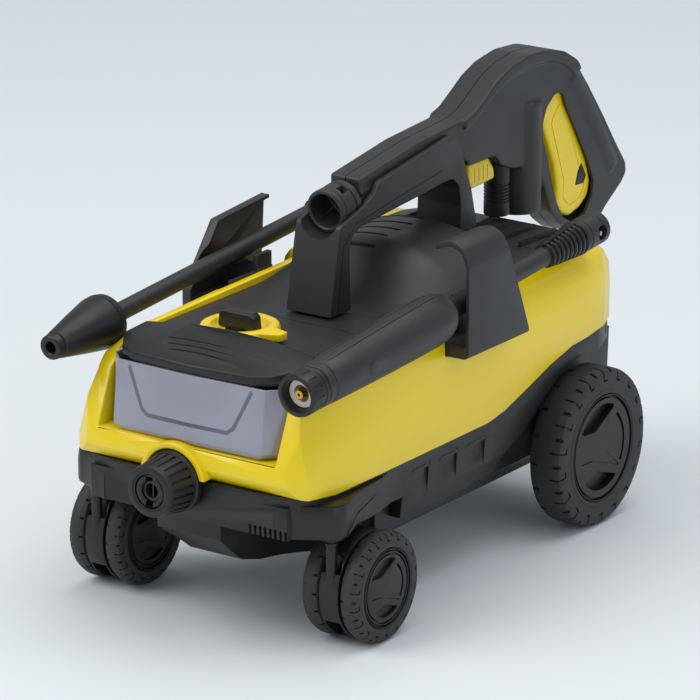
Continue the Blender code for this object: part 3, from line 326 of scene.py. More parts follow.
def loft(name, rings):
    """A closed solid through level rings of as many points each."""
    first = [Vector(point) for point in rings[0]]
    obj = outline(name, first)
    edit_all(obj)
    for _ in rings[1:]:
        bpy.ops.mesh.extrude_region_move(TRANSFORM_OT_translate={"value": (0, 0, 0.01)})
    bpy.ops.object.mode_set(mode="OBJECT")
    for vertex in obj.data.vertices:
        level = round((vertex.co.z - first[0].z) / 0.01)
        index = min(range(len(first)), key=lambda i: (first[i].xy - vertex.co.xy).length)
        vertex.co = rings[level][index]
    return face_out(obj)


def soften(obj, width, segments=3, angle=30, clamp=True):
    """Round the edges sharper than this angle."""
    return modify(obj, "BEVEL", width=width, segments=segments, limit_method="ANGLE",
                  angle_limit=math.radians(angle), use_clamp_overlap=clamp, miter_outer="MITER_ARC")


def blended(obj, voxel, passes, factor=0.5):
    """Melt joined solids into one moulding with soft inner corners."""
    modify(obj, "REMESH", mode="VOXEL", voxel_size=voxel)
    return modify(obj, "SMOOTH", factor=factor, iterations=passes)


def packed_copy(node, name=None):
    """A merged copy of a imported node's triangles, moved to the middle of the wheelbase."""
    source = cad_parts[node]
    source.hide_viewport = False
    obj = copied(source, name or node + "_finished")
    obj.data.materials.clear()
    edit_all(obj)
    bpy.ops.mesh.remove_doubles(threshold=0.00002)
    bpy.ops.mesh.dissolve_limited(angle_limit=math.radians(0.6))
    bpy.ops.object.mode_set(mode="OBJECT")
    obj.parent = None
    return moved(obj, Matrix.Translation((0, -MIDDLE_Y, 0)))


def rounded(points, radius, steps=5):
    """The outline with its corners turned into curves of about this radius."""
    result = []
    count = len(points)
    for index in range(count):
        before = Vector(points[index - 1][:2])
        corner = Vector(points[index][:2])
        after = Vector(points[(index + 1) % count][:2])
        back = before - corner
        ahead = after - corner
        own = points[index][2] if len(points[index]) > 2 else radius
        opening = back.angle(ahead)
        if own <= 0 or opening > 3.10:
            result.append(tuple(corner))
            continue
        reach = min(own / math.tan(opening / 2), back.length * 0.49, ahead.length * 0.49)
        start = corner + back.normalized() * reach
        end = corner + ahead.normalized() * reach
        for step in range(steps + 1):
            t = step / steps
            result.append(tuple(start * (1 - t) ** 2 + corner * 2 * t * (1 - t) + end * t * t))
    return result


def arc(centre, radius, first, last, count):
    """Points along an arc between two angles in degrees."""
    points = []
    for index in range(count + 1):
        angle = math.radians(first + (last - first) * index / count)
        points.append((centre[0] + radius * math.cos(angle), centre[1] + radius * math.sin(angle)))
    return points


def ribbon(points, width):
    """The outline of a strip of this width that follows the points."""
    left = []
    right = []
    for index, point in enumerate(points):
        before = Vector(points[max(index - 1, 0)])
        after = Vector(points[min(index + 1, len(points) - 1)])
        way = (after - before).normalized()
        across = Vector((-way.y, way.x)) * width / 2
        left.append(tuple(Vector(point) + across))
        right.append(tuple(Vector(point) - across))
    return left + right[::-1]


def lance_point(y, side=1):
    """A point on the axis of a lance."""
    return Vector((side * LANCE_X, y, LANCE_HEIGHT + LANCE_RISE * y))


def finish(obj, body, material, *nodes, angle=35):
    """Shade, paint and place a finished piece, and say what it stands for and rides on."""
    for spare in list(obj.data.materials):
        obj.data.materials.pop(index=0)
    obj.data.materials.append(material)
    for face in obj.data.polygons:
        face.material_index = 0
    moved(obj, Matrix.Translation((0, MIDDLE_Y, 0)))
    only(obj)
    bpy.ops.object.shade_smooth_by_angle(angle=math.radians(angle))
    if nodes:
        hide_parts(*nodes)
    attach(obj, body)
    return obj


# ---- materials ------------------------------------------------------------------------
def node(tree, kind, inputs=None, **settings):
    """Add a node with its settings, and link or set its inputs."""
    item = tree.nodes.new(kind)
    for key, value in settings.items():
        setattr(item, key, value)
    for socket, source in (inputs or {}).items():
        if isinstance(source, bpy.types.NodeSocket):
            tree.links.new(source, item.inputs[socket])
        else:
            item.inputs[socket].default_value = source
    return item


def shade_of(colour, factor):
    """A lighter or darker version of a colour, with alpha."""
    return (*[min(value * factor, 1.0) for value in colour], 1)


def blended_colour(tree, pattern, first, second):
    """The output of a colour mix, steered by a noise node.  The mix node's colour sockets are 6 and 7."""
    return node(tree, "ShaderNodeMix", {0: pattern.outputs["Fac"], 6: first, 7: second},
                data_type="RGBA").outputs[2]


def new_material(name, record_slot):
    """An empty node material and its shader."""
    mat = bpy.data.materials.get(name)
    if mat:
        return mat, None, None
    mat = bpy.data.materials.new(name)
    mat.use_nodes = True
    mat["record_slot"] = record_slot
    return mat, mat.node_tree, mat.node_tree.nodes["Principled BSDF"]


def moulding(name, record_slot, colour, rough, spread, grain, depth, coat=0.0, dust=0.04, ior=1.5):
    """Injection-moulded plastic: fine spark grain, slow changes of gloss and colour."""
    mat, tree, shader = new_material(name, record_slot)
    if shader is None:
        return mat
    place = node(tree, "ShaderNodeTexCoord").outputs["Object"]
    # spark-eroded tool grain; drawn about twice as coarse as the real one so that it shows
    fine = node(tree, "ShaderNodeTexNoise",
                {"Vector": place, "Scale": 1 / grain, "Detail": 3.0, "Roughness": 0.6})
    # slow flow marks, 40 mm across, shift the gloss
    slow = node(tree, "ShaderNodeTexNoise", {"Vector": place, "Scale": 25.0, "Detail": 2.0})
    gloss = node(tree, "ShaderNodeMapRange",
                 {"Value": slow.outputs["Fac"], "From Min": 0.3, "From Max": 0.7,
                                              "To Min": rough - spread, "To Max": rough + spread})
    tree.links.new(gloss.outputs["Result"], shader.inputs["Roughness"])
    tree.links.new(blended_colour(tree, fine, shade_of(colour, 1 - dust), shade_of(colour, 1 + dust)),
                   shader.inputs["Base Color"])
    bump = node(tree, "ShaderNodeBump",
                {"Height": fine.outputs["Fac"], "Strength": depth, "Distance": grain * 0.15})
    tree.links.new(bump.outputs["Normal"], shader.inputs["Normal"])
    shader.inputs["IOR"].default_value = ior
    shader.inputs["Coat Weight"].default_value = coat
    shader.inputs["Coat Roughness"].default_value = 0.12
    return mat


def yellow_gloss():
    """Glossy yellow ABS: a smooth, wet-looking shell with a barely visible orange peel."""
    return moulding("glossy_yellow_abs", "yellow_plastic", colours().yellow, 0.32, 0.04, 0.0030, 0.10,
                    coat=0.25,
                    dust=0.01, ior=1.53)


def grey_grain():
    """Dark grey grained polypropylene: satin, even, with a fine spark grain."""
    return moulding("grained_grey_polypropylene", "grey_plastic", colours().grey, 0.46, 0.05,
                    sizes().grain, 0.35)


def black_grain():
    """Black grained polypropylene of the tub, the lid and the hubs."""
    return moulding("grained_black_polypropylene", "black_plastic", colours().black, 0.42, 0.05,
                    sizes().grain, 0.35)


def tread_compound():
    """Hard moulded tread: dull, slightly dusty, coarser than the housings."""
    return moulding("moulded_tread_compound", "tyre_plastic", colours().tyre, 0.62, 0.06,
                    sizes().grain * 1.4, 0.5,
                    dust=0.08)


def painted_shade_black():
    """Black plastic darkened to a third as painted shade, for sockets and slots where almost no light comes
    back.
    """
    return moulding("black_with_painted_shade", "black_plastic", [v * 0.35 for v in colours().black], 0.55, 0.05,
                    sizes().grain, 0.2)


def smoked_tank():
    """Smoked polypropylene of the tank: milky, glossy skin, lighter where the wall is thin."""
    mat, tree, shader = new_material("smoked_polypropylene", "smoked_plastic")
    if shader is None:
        return mat
    place = node(tree, "ShaderNodeTexCoord").outputs["Object"]
    cloud = node(tree, "ShaderNodeTexNoise", {"Vector": place, "Scale": 16.0, "Detail": 2.0})
    tree.links.new(blended_colour(tree, cloud, shade_of(colours().smoke, 0.90),
                                  shade_of(colours().smoke, 1.12)),
                   shader.inputs["Base Color"])
    ripple = node(tree, "ShaderNodeTexNoise", {"Vector": place, "Scale": 90.0, "Detail": 1.0})
    bump = node(tree, "ShaderNodeBump",
                {"Height": ripple.outputs["Fac"], "Strength": 0.12, "Distance": 0.0006})
    tree.links.new(bump.outputs["Normal"], shader.inputs["Normal"])
    shader.inputs["Roughness"].default_value = 0.16
    shader.inputs["IOR"].default_value = 1.49
    shader.inputs["Transmission Weight"].default_value = 0.12
    shader.inputs["Coat Weight"].default_value = 0.5
    return mat


def painted_groove_shade():
    """A darker, matt band laid in the groove round the tank's window: painted shade of the groove."""
    return moulding("tank_groove_painted_shade", "smoked_plastic", [v * 0.42 for v in colours().smoke], 0.45,
                    0.04, 0.0012,
                    0.15, dust=0.03)


def metal(name, record_slot, colour, rough, stretch):
    """Drawn or machined metal: long fine scratches along X."""
    mat, tree, shader = new_material(name, record_slot)
    if shader is None:
        return mat
    place = node(tree, "ShaderNodeTexCoord").outputs["Object"]
    along = node(tree, "ShaderNodeMapping", {"Vector": place, "Scale": stretch})
    lines = node(tree, "ShaderNodeTexNoise",
                 {"Vector": along.outputs["Vector"], "Scale": 900.0, "Detail": 2.0})
    gloss = node(tree, "ShaderNodeMapRange", {"Value": lines.outputs["Fac"], "To Min": rough * 0.8,
                                              "To Max": rough * 1.25})
    tree.links.new(gloss.outputs["Result"], shader.inputs["Roughness"])
    bump = node(tree, "ShaderNodeBump",
                {"Height": lines.outputs["Fac"], "Strength": 0.1, "Distance": 0.0002})
    tree.links.new(bump.outputs["Normal"], shader.inputs["Normal"])
    shader.inputs["Base Color"].default_value = (*colour, 1)
    shader.inputs["Metallic"].default_value = 1.0
    return mat


def drawn_steel():
    """Bright drawn steel rod."""
    return metal("bright_drawn_steel", "steel", colours().steel, 0.28, (0.05, 1, 1))


def machined_brass():
    """Machined brass of the nozzle and valve."""
    return metal("machined_brass", "brass", colours().brass, 0.25, (1, 0.1, 1))


def cast_alloy():
    """Sand-textured cast aluminium of the pump and motor case."""
    return metal("sand_textured_casting", "cast_aluminium", linear("#8E9094"), 0.45, (1, 1, 1))


def ceramic_white():
    """White nozzle insert of glazed ceramic."""
    return moulding("white_nozzle_insert", "brass", linear("#D8D2C8"), 0.3, 0.03, 0.0008, 0.05, dust=0.02)


# ---- wheels ---------------------------------------------------------------------------
def tyre_profile(radius, bore, width):
    """Half-round shoulders, a flat tread and a raised bead next to the hub."""
    return [
        (bore, width - 0.0020), (bore + 0.0012, width - 0.0004), (bore + 0.0040, width - 0.0004),
        (bore + 0.0048, width - 0.0010), (radius - 0.0110, width - 0.0008),
        (radius - 0.0045, width - 0.0010), (radius - 0.0018, width - 0.0025),
        (radius - 0.0005, width - 0.0055), (radius, width * 0.60), (radius, width * 0.40),
        (radius - 0.0005, 0.0055), (radius - 0.0018, 0.0025), (radius - 0.0045, 0.0010),
        (bore + 0.0048, 0.0010), (bore, 0.0020),
    ]


def make_tyre(name, radius, bore, width, x_inner, y):
    """One tyre, outer face towards +X: hooked sipes on its face, notches over both shoulders."""
    tyre = turned(name, tyre_profile(radius, bore, width), (x_inner, y, radius), (1, 0, 0), 96)
    count = sizes().treads
    outer = x_inner + width
    top = 2 * radius
    hook = radius * 0.13
    centre = Vector((0, y, radius))
    wide = radius * 0.013
    cuts = [
        (block("sipe", (outer - 0.0026, y - wide, top - hook), (outer + 0.01, y + wide, top + 0.01)), 0.0),
        (block("sipe_foot", (outer - 0.0026, y - wide, top - hook - 2 * wide),
               (outer + 0.01, y + radius * 0.075, top - hook + 0.0001)), 0.0),
        (block("sipe_tread", (outer - width * 0.34, y - wide, top - 0.0022),
               (outer + 0.01, y + wide, top + 0.01)), 0.0),
        (block("notch_out", (outer - width * 0.24, y - 1.6 * wide, top - 0.0036),
               (outer + 0.01, y + 1.6 * wide, top + 0.01)), 0.5),
        (block("notch_in", (x_inner - 0.01, y - 1.6 * wide, top - 0.0036),
               (x_inner + width * 0.30, y + 1.6 * wide, top + 0.01)), 0.5),
    ]
    for piece, shift in cuts:
        carve(tyre, around(piece, centre, count, shift))
    return tyre


def make_hub(name, rim, width, bore, x_inner, y, z, second_ring):
    """A dished hub with two windows, a chevron bar and ring grooves, outer face towards +X."""
    face = width - 0.0014
    profile = [(0.0, face)]
    if second_ring:
        profile += [(rim * 0.845, face), (rim * 0.850, face - 0.0022), (rim * 0.895, face - 0.0022),
                    (rim * 0.900, face)]
    profile += [
        (rim * 0.930, face), (rim * 0.935, face - 0.0030), (rim * 0.978, face - 0.0030),
        (rim * 0.984, width - 0.0008), (rim, width - 0.0008), (rim, 0.0014), (rim * 0.86, 0.0014),
        (rim * 0.82, width * 0.42), (bore * 2.2, width * 0.42), (bore * 2.2, 0.0014), (bore, 0.0014),
        (bore, width * 0.70), (0.0, width * 0.70),
    ]
    hub = turned(name, profile, (x_inner, y, z), (1, 0, 0), 72)
    scale = rim / 0.0470 * (0.93 if second_ring else 1.0)
    reach = 0.0392

    def placed(points):
        return [(y + u * scale, z + v * scale) for u, v in points]

    upper = [(-0.0300, 0.0185), (-0.0116, 0.0172), (0.0170, 0.0325)] + arc((0, 0), reach, 64, 148, 14)
    lower = [(0.0212, -0.0290), (-0.0071, -0.0196), (-0.0248, -0.0248)] + arc((0, 0), reach * 0.96, 227,
                                                                              305, 14)
    step = ribbon([(-0.0330, -0.0070), (-0.0152, -0.0078), (0.0262, -0.0222)], 0.0016)
    moon = arc((0, 0), 0.0352, -34, 50, 14) + arc((0.0010, 0), 0.0312, 50, -34, 14)
    outer = x_inner + width + 0.002
    deep = x_inner + face - width * 0.20
    for points, depth in ((upper, deep), (lower, deep), (step, x_inner + face - 0.0010),
                          (moon, x_inner + face - 0.0028)):
        carve(hub, slab("hub_cut", placed(points), depth, outer))
    return soften(hub, 0.0005, 2, 40)


class WASHER_OT_wheels(bpy.types.Operator):
    """Rear wheels and the wheels of both twin casters"""

    bl_idname = "washer.wheels"
    bl_label = "Wheels"

    def execute(self, context):
        rear_low, rear_high = box_of("rear_right_tyre")
        radius = (rear_high.z - rear_low.z) / 2
        width = rear_high.x - rear_low.x
        rim = (box_of("rear_right_hub")[1].z - box_of("rear_right_hub")[0].z) / 2
        tyre = make_tyre("rear_right_tread", radius, rim + 0.0004, width, rear_low.x, REAR_Y)
        hub = make_hub("rear_right_disc", rim, width, 0.0055, rear_low.x, REAR_Y, radius, False)
        other_side = Matrix.Scale(-1, 4, (1, 0, 0))
        rear = [(tyre, hub, "rear_right"), (copied(tyre, "rear_left_tread", other_side),
                                            copied(hub, "rear_left_disc", other_side), "rear_left")]
        for tread, disc, name in rear:
            body = "rear_wheel_" + name.split("_")[1]
            finish(tread, body, tread_compound(), name + "_tyre")
            finish(disc, body, black_grain(), name + "_hub")
        low, high = box_of("caster_right_outer_tyre")
        radius = (high.z - low.z) / 2
        width = high.x - low.x
        rim = (box_of("caster_right_outer_hub")[1].z - box_of("caster_right_outer_hub")[0].z) / 2
        tyre = make_tyre("caster_tread", radius, rim + 0.0004, width, low.x, CASTER_Y)
        hub = make_hub("caster_disc", rim, width, 0.0041, low.x, CASTER_Y, radius, True)
        about_caster = Matrix.Translation((2 * CASTER_X, 0, 0)) @ other_side
        places = {
            "right_outer": Matrix.Identity(4),
            "right_inner": about_caster,
            "left_outer": other_side,
            "left_inner": Matrix.Translation((-2 * CASTER_X, 0, 0)),
        }
        for name, matrix in places.items():
            body = "caster_%s_wheel" % name
            tread = copied(tyre, "caster_%s_tread" % name, matrix)
            disc = copied(hub, "caster_%s_disc" % name, matrix)
            finish(tread, body, tread_compound(), "caster_%s_tyre" % name)
            finish(disc, body, black_grain(), "caster_%s_hub" % name)
        bpy.data.objects.remove(tyre, do_unlink=True)
        bpy.data.objects.remove(hub, do_unlink=True)
        return {"FINISHED"}


class WASHER_OT_casters(bpy.types.Operator):
    """Caster housings with their swivel pins, and the axles"""

    bl_idname = "washer.casters"
    bl_label = "Casters and axles"

    def execute(self, context):
        low, high = box_of("caster_right_fork")
        wheel_radius = (box_of("caster_right_outer_tyre")[1].z) / 2
        disc = wheel_radius * 0.965
        shape = arc((CASTER_Y, wheel_radius), disc, 20, 342, 72)
        shape += [(CASTER_Y + disc * 0.50, wheel_radius - disc * 0.10),
                  (CASTER_Y + disc * 0.50, wheel_radius + disc * 0.18)]
        fork = slab("caster_right_housing", shape, low.x, high.x)
        soften(fork, 0.0007, 2)
        mouth = slab("housing_mouth",
                     rounded([(CASTER_Y - 0.06, -0.01), (CASTER_Y - 0.0100, -0.01),
                              (CASTER_Y - 0.0180, 0.0180),
                                               (CASTER_Y - 0.0380, 0.0240), (CASTER_Y - 0.06, 0.0240)],
                                               0.002),
                     low.x + 0.0016, high.x - 0.0016)
        bore = bar("housing_bore", 0.0041, (low.x - 0.01, CASTER_Y, wheel_radius),
                   (high.x + 0.01, CASTER_Y, wheel_radius), 24)
        pocket = bar("pin_pocket", 0.0088, (CASTER_X, SWIVEL_Y, 0.0660), (CASTER_X, SWIVEL_Y, 0.12), 32)
        carve(fork, mouth, bore, pocket)
        top = high.z
        pin = turned("swivel_pin",
                     [(0.0, 0.0), (0.0045, 0.0), (0.0045, 0.0400), (0.0052, 0.0406), (0.0052, 0.0425),
                                    (0.0040, 0.0432), (0.0040, top - 0.0500), (0.0, top - 0.0500)],
                     (CASTER_X, SWIVEL_Y, 0.0500), (0, 0, 1), 32)
        build_up(fork, pin)
        twin = copied(fork, "caster_left_housing", Matrix.Translation((-2 * CASTER_X, 0, 0)))
        finish(fork, "caster_right", black_grain(), "caster_right_fork")
        finish(twin, "caster_left", black_grain(), "caster_left_fork")
        for name, body in (("rear_axle", "machine"), ("caster_right_axle", "caster_right"),
                           ("caster_left_axle", "caster_left"),
                           ("trigger_pin", "gun")):
            finish(soften(packed_copy(name), 0.0004, 2), body, drawn_steel(), name)
        return {"FINISHED"}


# ---- tub, shell and cover -------------------------------------------------------------
def u_groove(middle, top, bottom, half, width):
    """An upside-down U on the tub's side, as the outline of a strip."""
    line = [(middle - half * 1.10, bottom), (middle - half, top - 0.0040)]
    line += arc((middle - half + 0.0040, top - 0.0040), 0.0040, 180, 90, 4)[1:]
    line += arc((middle + half - 0.0040, top - 0.0040), 0.0040, 90, 0, 4)
    line += [(middle + half * 0.95, bottom)]
    return ribbon(line, width)


def flare_plan(grow, level):
    """Plan of the front corner that bulges round the caster's swivel, at one level."""
    radius = 0.0150 - grow
    points = [(0.0850, -0.2438 + grow * 0.3), (0.1050, -0.2330 + grow * 0.4)]
    points += arc((CASTER_X - grow * 0.4, SWIVEL_Y), radius, -85, 12, 10)
    points += [(0.1235 - grow * 0.6, -0.1800), (0.1172 - grow * 0.35, -0.1350), (0.1120, -0.1150),
               (0.0850, -0.1150)]
    return [(x, y, level) for x, y in points]


def flare(name, levels):
    """The bulging right front corner, lofted through (height, how far it has shrunk)."""
    return loft(name, [flare_plan(grow, level) for level, grow in levels])


class WASHER_OT_tub(bpy.types.Operator):
    """Black lower tub with rib grooves, air slots and the bulges round the casters' swivels"""

    bl_idname = "washer.tub"
    bl_label = "Tub"

    def execute(self, context):
        tub = packed_copy("chassis", "tub")
        for side in (-1, 1):
            liner = [(side * 0.0768, 0.0540), (side * 0.0870, 0.0540), (side * 0.0870, 0.0642)]
            build_up(tub, slab("keel_liner", liner, -0.0940, 0.2290, "front"))
            corner = [(side * 0.0685, 0.0420), (side * 0.1150, 0.0420), (side * 0.1150, 0.0700),
                      (side * 0.0985, 0.0720)]
            carve(tub, slab("keel_corner", corner, -0.3000, 0.3000, "front"))
        bulge = flare("tub_corner",
                      [(0.0980, 0.0022), (0.0992, 0.0005), (0.1010, 0.0), (0.1180, 0.0), (0.1262, 0.0008)])
        carve(bulge, bar("stem_way", 0.0048, (CASTER_X, SWIVEL_Y, 0.05), (CASTER_X, SWIVEL_Y, 0.1180), 32))
        other = copied(bulge, "tub_corner_left", Matrix.Scale(-1, 4, (1, 0, 0)))
        build_up(tub, bulge, other)
        for side in (-1, 1):
            sides = sorted((side * 0.1133, side * 0.1300))
            for index in range(3):
                middle = -0.0760 + 0.0415 * index
                strip = slab("rib_groove", u_groove(middle, 0.1190, 0.0700, 0.0135, 0.0026), *sides)
                carve(tub, strip)
            sweep = [(-0.2150, 0.0995), (-0.1850, 0.1085), (-0.1500, 0.1150), (-0.0960, 0.1180)]
            carve(tub, slab("side_line", ribbon(sweep, 0.0011), *sorted((side * 0.1190, side * 0.15))))
        slots = []
        for index in range(9):
            x = 0.0620 + 0.0050 * index
            slots.append(block("air_slot", (x - 0.0012, -0.30, 0.0900), (x + 0.0012, -0.2360, 0.1060)))
        carve(tub, joined("air_slots", slots))
        soften(tub, 0.0009, 2, 34)
        finish(tub, "machine", black_grain(), "chassis")
        return {"FINISHED"}


class WASHER_OT_shell(bpy.types.Operator):
    """Glossy upper shell"""

    bl_idname = "washer.shell"
    bl_label = "Body shell"

    def execute(self, context):
        shell = packed_copy("body_shell", "upper_shell")
        soften(shell, sizes().crease, 2, 32, clamp=False)
        finish(shell, "machine", yellow_gloss(), "body_shell")
        return {"FINISHED"}


def smooth_step(value, low, high):
    """0 below low, 1 above high, and a soft S between them."""
    t = min(max((value - low) / (high - low), 0.0), 1.0)
    return t * t * (3 - 2 * t)


def cover_height(x, y):
    """Height of the cover: flat deck, a dome over the motor, a nearly flat rear deck."""
    side = min(abs(x) / 0.0890, 1.0)
    rise = smooth_step(y, -0.0430, 0.0300) ** 0.8 * (1 - smooth_step(y, 0.0950, 0.1180))
    edge = 0.2268 + 0.0140 * smooth_step(y, -0.0300, 0.1100)
    crown = 0.2265 + 0.0445 * rise + 0.0195 * smooth_step(y, 0.0950, 0.1180) - 0.00003 * max(y - 0.118,
                                                                                             0) / 0.001
    share = (1 - side ** 2.3) ** 0.9
    return edge + (crown - edge) * share


class WASHER_OT_cover(bpy.types.Operator):
    """Dark grey cover: flat deck, vented dome and ribbed rear deck"""

    bl_idname = "washer.cover"
    bl_label = "Top cover"

    def execute(self, context):
        low, high = box_of("top_cover")
        y_low = low.y - MIDDLE_Y
        y_high = high.y - MIDDLE_Y
        cover = add("vented_cover", bpy.ops.mesh.primitive_grid_add, x_subdivisions=48,
                    y_subdivisions=110, size=1)
        half = high.x - 0.0002
        for vertex in cover.data.vertices:
            y = y_low + (vertex.co.y + 0.5) * (y_high - y_low)
            narrow = 0.0150 * smooth_step(y, 0.1880, y_high)
            x = vertex.co.x * 2 * (half - narrow)
            vertex.co = (x, y, cover_height(x, y))
        modify(cover, "SOLIDIFY", thickness=0.0030, offset=-1)
        slots = []
        for index in range(6):
            y = 0.0130 + 0.0200 * index
            reach = 0.0060 - 0.0010 * index
            line = [(-0.0640 + 0.0050 * index, y - 0.0030), (-0.0300, y), (reach - 0.004, y + 0.0010),
                    (reach, y + 0.0010)]
            if 0.1000 > y:
                slots.append(slab("vent", rounded(ribbon(line, 0.0042), 0.0018), 0.2200, 0.2900, "plan"))
        carve(cover, *slots)
        for index in range(7):
            x = -0.0630 + 0.0210 * index
            rib = slab("deck_rib", rounded([(0.1480, 0.2430), (0.1480, 0.2488), (0.2040, 0.2472),
                                            (0.2060, 0.2430)], 0.0015),
                       x - 0.0012, x + 0.0012)
            build_up(cover, rib)
        ring = turned("dial_seat",
                      [(0.0375, 0.0), (0.0375, 0.0016), (0.0362, 0.0020), (0.0352, 0.0020), (0.0352, 0.0)],
                      (DIAL.x, DIAL.y, 0.2258), (0, 0, 1), 72)
        build_up(cover, ring)
        groove = slab("deck_line",
                      ribbon([(-0.080, -0.1000), (-0.045, -0.0905), (0.045, -0.0905), (0.080, -0.1000)],
                             0.0010),
                      0.2259, 0.24, "plan")
        carve(cover, groove)
        finish(cover, "machine", grey_grain(), "top_cover")
        box = soften(packed_copy("switch_box"), 0.0015, 2)
        # the switch box is painted in black darkened as painted shade
        finish(box, "machine", painted_shade_black(), "switch_box")
        return {"FINISHED"}


class WASHER_OT_tank(bpy.types.Operator):
    """Smoked tank with the groove round its window darkened by painted shade, and the black lid with curved
    grooves
    """

    bl_idname = "washer.tank"
    bl_label = "Tank and lid"

    def execute(self, context):
        low, high = box_of("detergent_tank")
        front = low.y - MIDDLE_Y
        tank = packed_copy("detergent_tank", "smoked_tank")
        soften(tank, 0.0016, 3, 32)
        lean = 0.0065 / (high.z - low.z)
        frame_line = [(-0.0640, high.z + 0.002), (-0.0613, high.z - 0.0030), (-0.0460, 0.1835),
                      (-0.0400, 0.1790), (0.0400, 0.1790), (0.0460, 0.1835), (0.0613, high.z - 0.0030),
                      (0.0640, high.z + 0.002)]
        strip = slab("window_frame", ribbon(rounded(frame_line, 0.004)[6:-6], 0.0034), front - 0.004,
                     front + 0.0030, "front")
        for vertex in strip.data.vertices:
            away = vertex.co.y < front
            base = front + lean * (vertex.co.z - low.z) + 0.0018 * abs(vertex.co.x) / 0.074
            vertex.co.y = base - 0.004 if away else base + 0.0009
        # a copy of the groove cutter, set into the groove and painted dark as the groove's painted shade
        channel = copied(strip, "tank_groove_shade_strip")
        for vertex in channel.data.vertices:
            base = front + lean * (vertex.co.z - low.z) + 0.0018 * abs(vertex.co.x) / 0.074
            vertex.co.y = base + (0.0004 if vertex.co.y < base else 0.0016)
        carve(tank, strip)
        finish(tank, "tank", smoked_tank(), "detergent_tank")
        finish(channel, "tank", painted_groove_shade())
        lid_low = box_of("tank_lid")[0]
        lid = packed_copy("tank_lid", "lid")
        grooves = []
        for index in range(3):
            y = -0.2230 + 0.0075 * index
            reach = 0.0330 + 0.0060 * index
            line = [(x * reach, y + 0.0040 * (1 - x * x)) for x in [-1 + 0.125 * k for k in range(17)]]
            level = lid_low.z + 0.0107 + 0.0023 * index
            grooves.append(slab("lid_groove", ribbon(line, 0.0016), level, level + 0.02, "plan"))
        carve(lid, *grooves)
        brow = slab("lid_brow", rounded([(-0.0640, lid_low.z + 0.0040), (-0.0560, lid_low.z - 0.01),
                                         (0.0560, lid_low.z - 0.01),
                                         (0.0640, lid_low.z + 0.0040)], 0.003), -0.2600,
                                         lid_low.y - MIDDLE_Y + 0.0012, "front")
        carve(lid, brow)
        soften(lid, 0.0008, 2, 40)
        finish(lid, "lid", black_grain(), "tank_lid")
        return {"FINISHED"}


class WASHER_OT_switch(bpy.types.Operator):
    """Rotary switch: yellow ring with its pointer, and the black grip bar"""

    bl_idname = "washer.switch"
    bl_label = "Rotary switch"

    def execute(self, context):
        ring_low, ring_high = box_of("switch_ring")
        radius = (ring_high.y - ring_low.y) / 2
        base = ring_low.z
        x, y = DIAL.x, DIAL.y
        profile = [
            (radius * 0.72, 0.0074), (radius * 0.76, 0.0080), (radius * 0.90, 0.0080),
            (radius * 0.96, 0.0070), (radius, 0.0045), (radius, 0.0004), (radius - 0.0004, 0.0),
            (0.0120, 0.0), (0.0120, 0.0030), (radius * 0.60, 0.0030), (radius * 0.66, 0.0040),
        ]
        ring = turned("switch_ring_finished", profile, (x, y, base), (0, 0, 1), 96)
        tab = rounded([(x + radius * 0.80, y - 0.0160), (x + radius + 0.0125, y - 0.0070, 0.002),
                       (x + radius + 0.0125, y + 0.0030, 0.002),
                       (x + radius * 0.80, y + 0.0100)], 0.003)
        pointer = soften(slab("pointer", tab, base + 0.0012, base + 0.0070, "plan"), 0.0010, 2)
        build_up(ring, pointer)
        for angle in (125, 235):
            way = Vector((math.cos(math.radians(angle)), math.sin(math.radians(angle)), 0))
            middle = Vector((x, y, 0)) + way * radius * 0.86
            mark = bar("ring_mark", 0.0010, middle + Vector((0, 0, base + 0.0074)),
                       middle + Vector((0, 0, base + 0.012)), 16)
            carve(ring, mark)
        finish(ring, "switch", yellow_gloss(), "switch_ring")
        knob_low, knob_high = box_of("switch_knob")
        reach = (knob_high.x - knob_low.x) / 2
        top = knob_high.z
        grip = [(x - reach, base + 0.0034), (x - reach + 0.0012, top - 0.0030), (x - reach + 0.0050, top),
                (x + reach - 0.0050, top),
                (x + reach - 0.0012, top - 0.0030), (x + reach, base + 0.0034)]
        knob = slab("switch_bar", rounded(grip, 0.002), y - 0.0060, y + 0.0060, "front")
        soften(knob, 0.0014, 3, 40)
        stem = bar("switch_stem", 0.0080, (x, y, knob_low.z), (x, y, base + 0.0050), 32)
        build_up(knob, stem)
        finish(knob, "switch", black_grain(), "switch_knob")
        return {"FINISHED"}


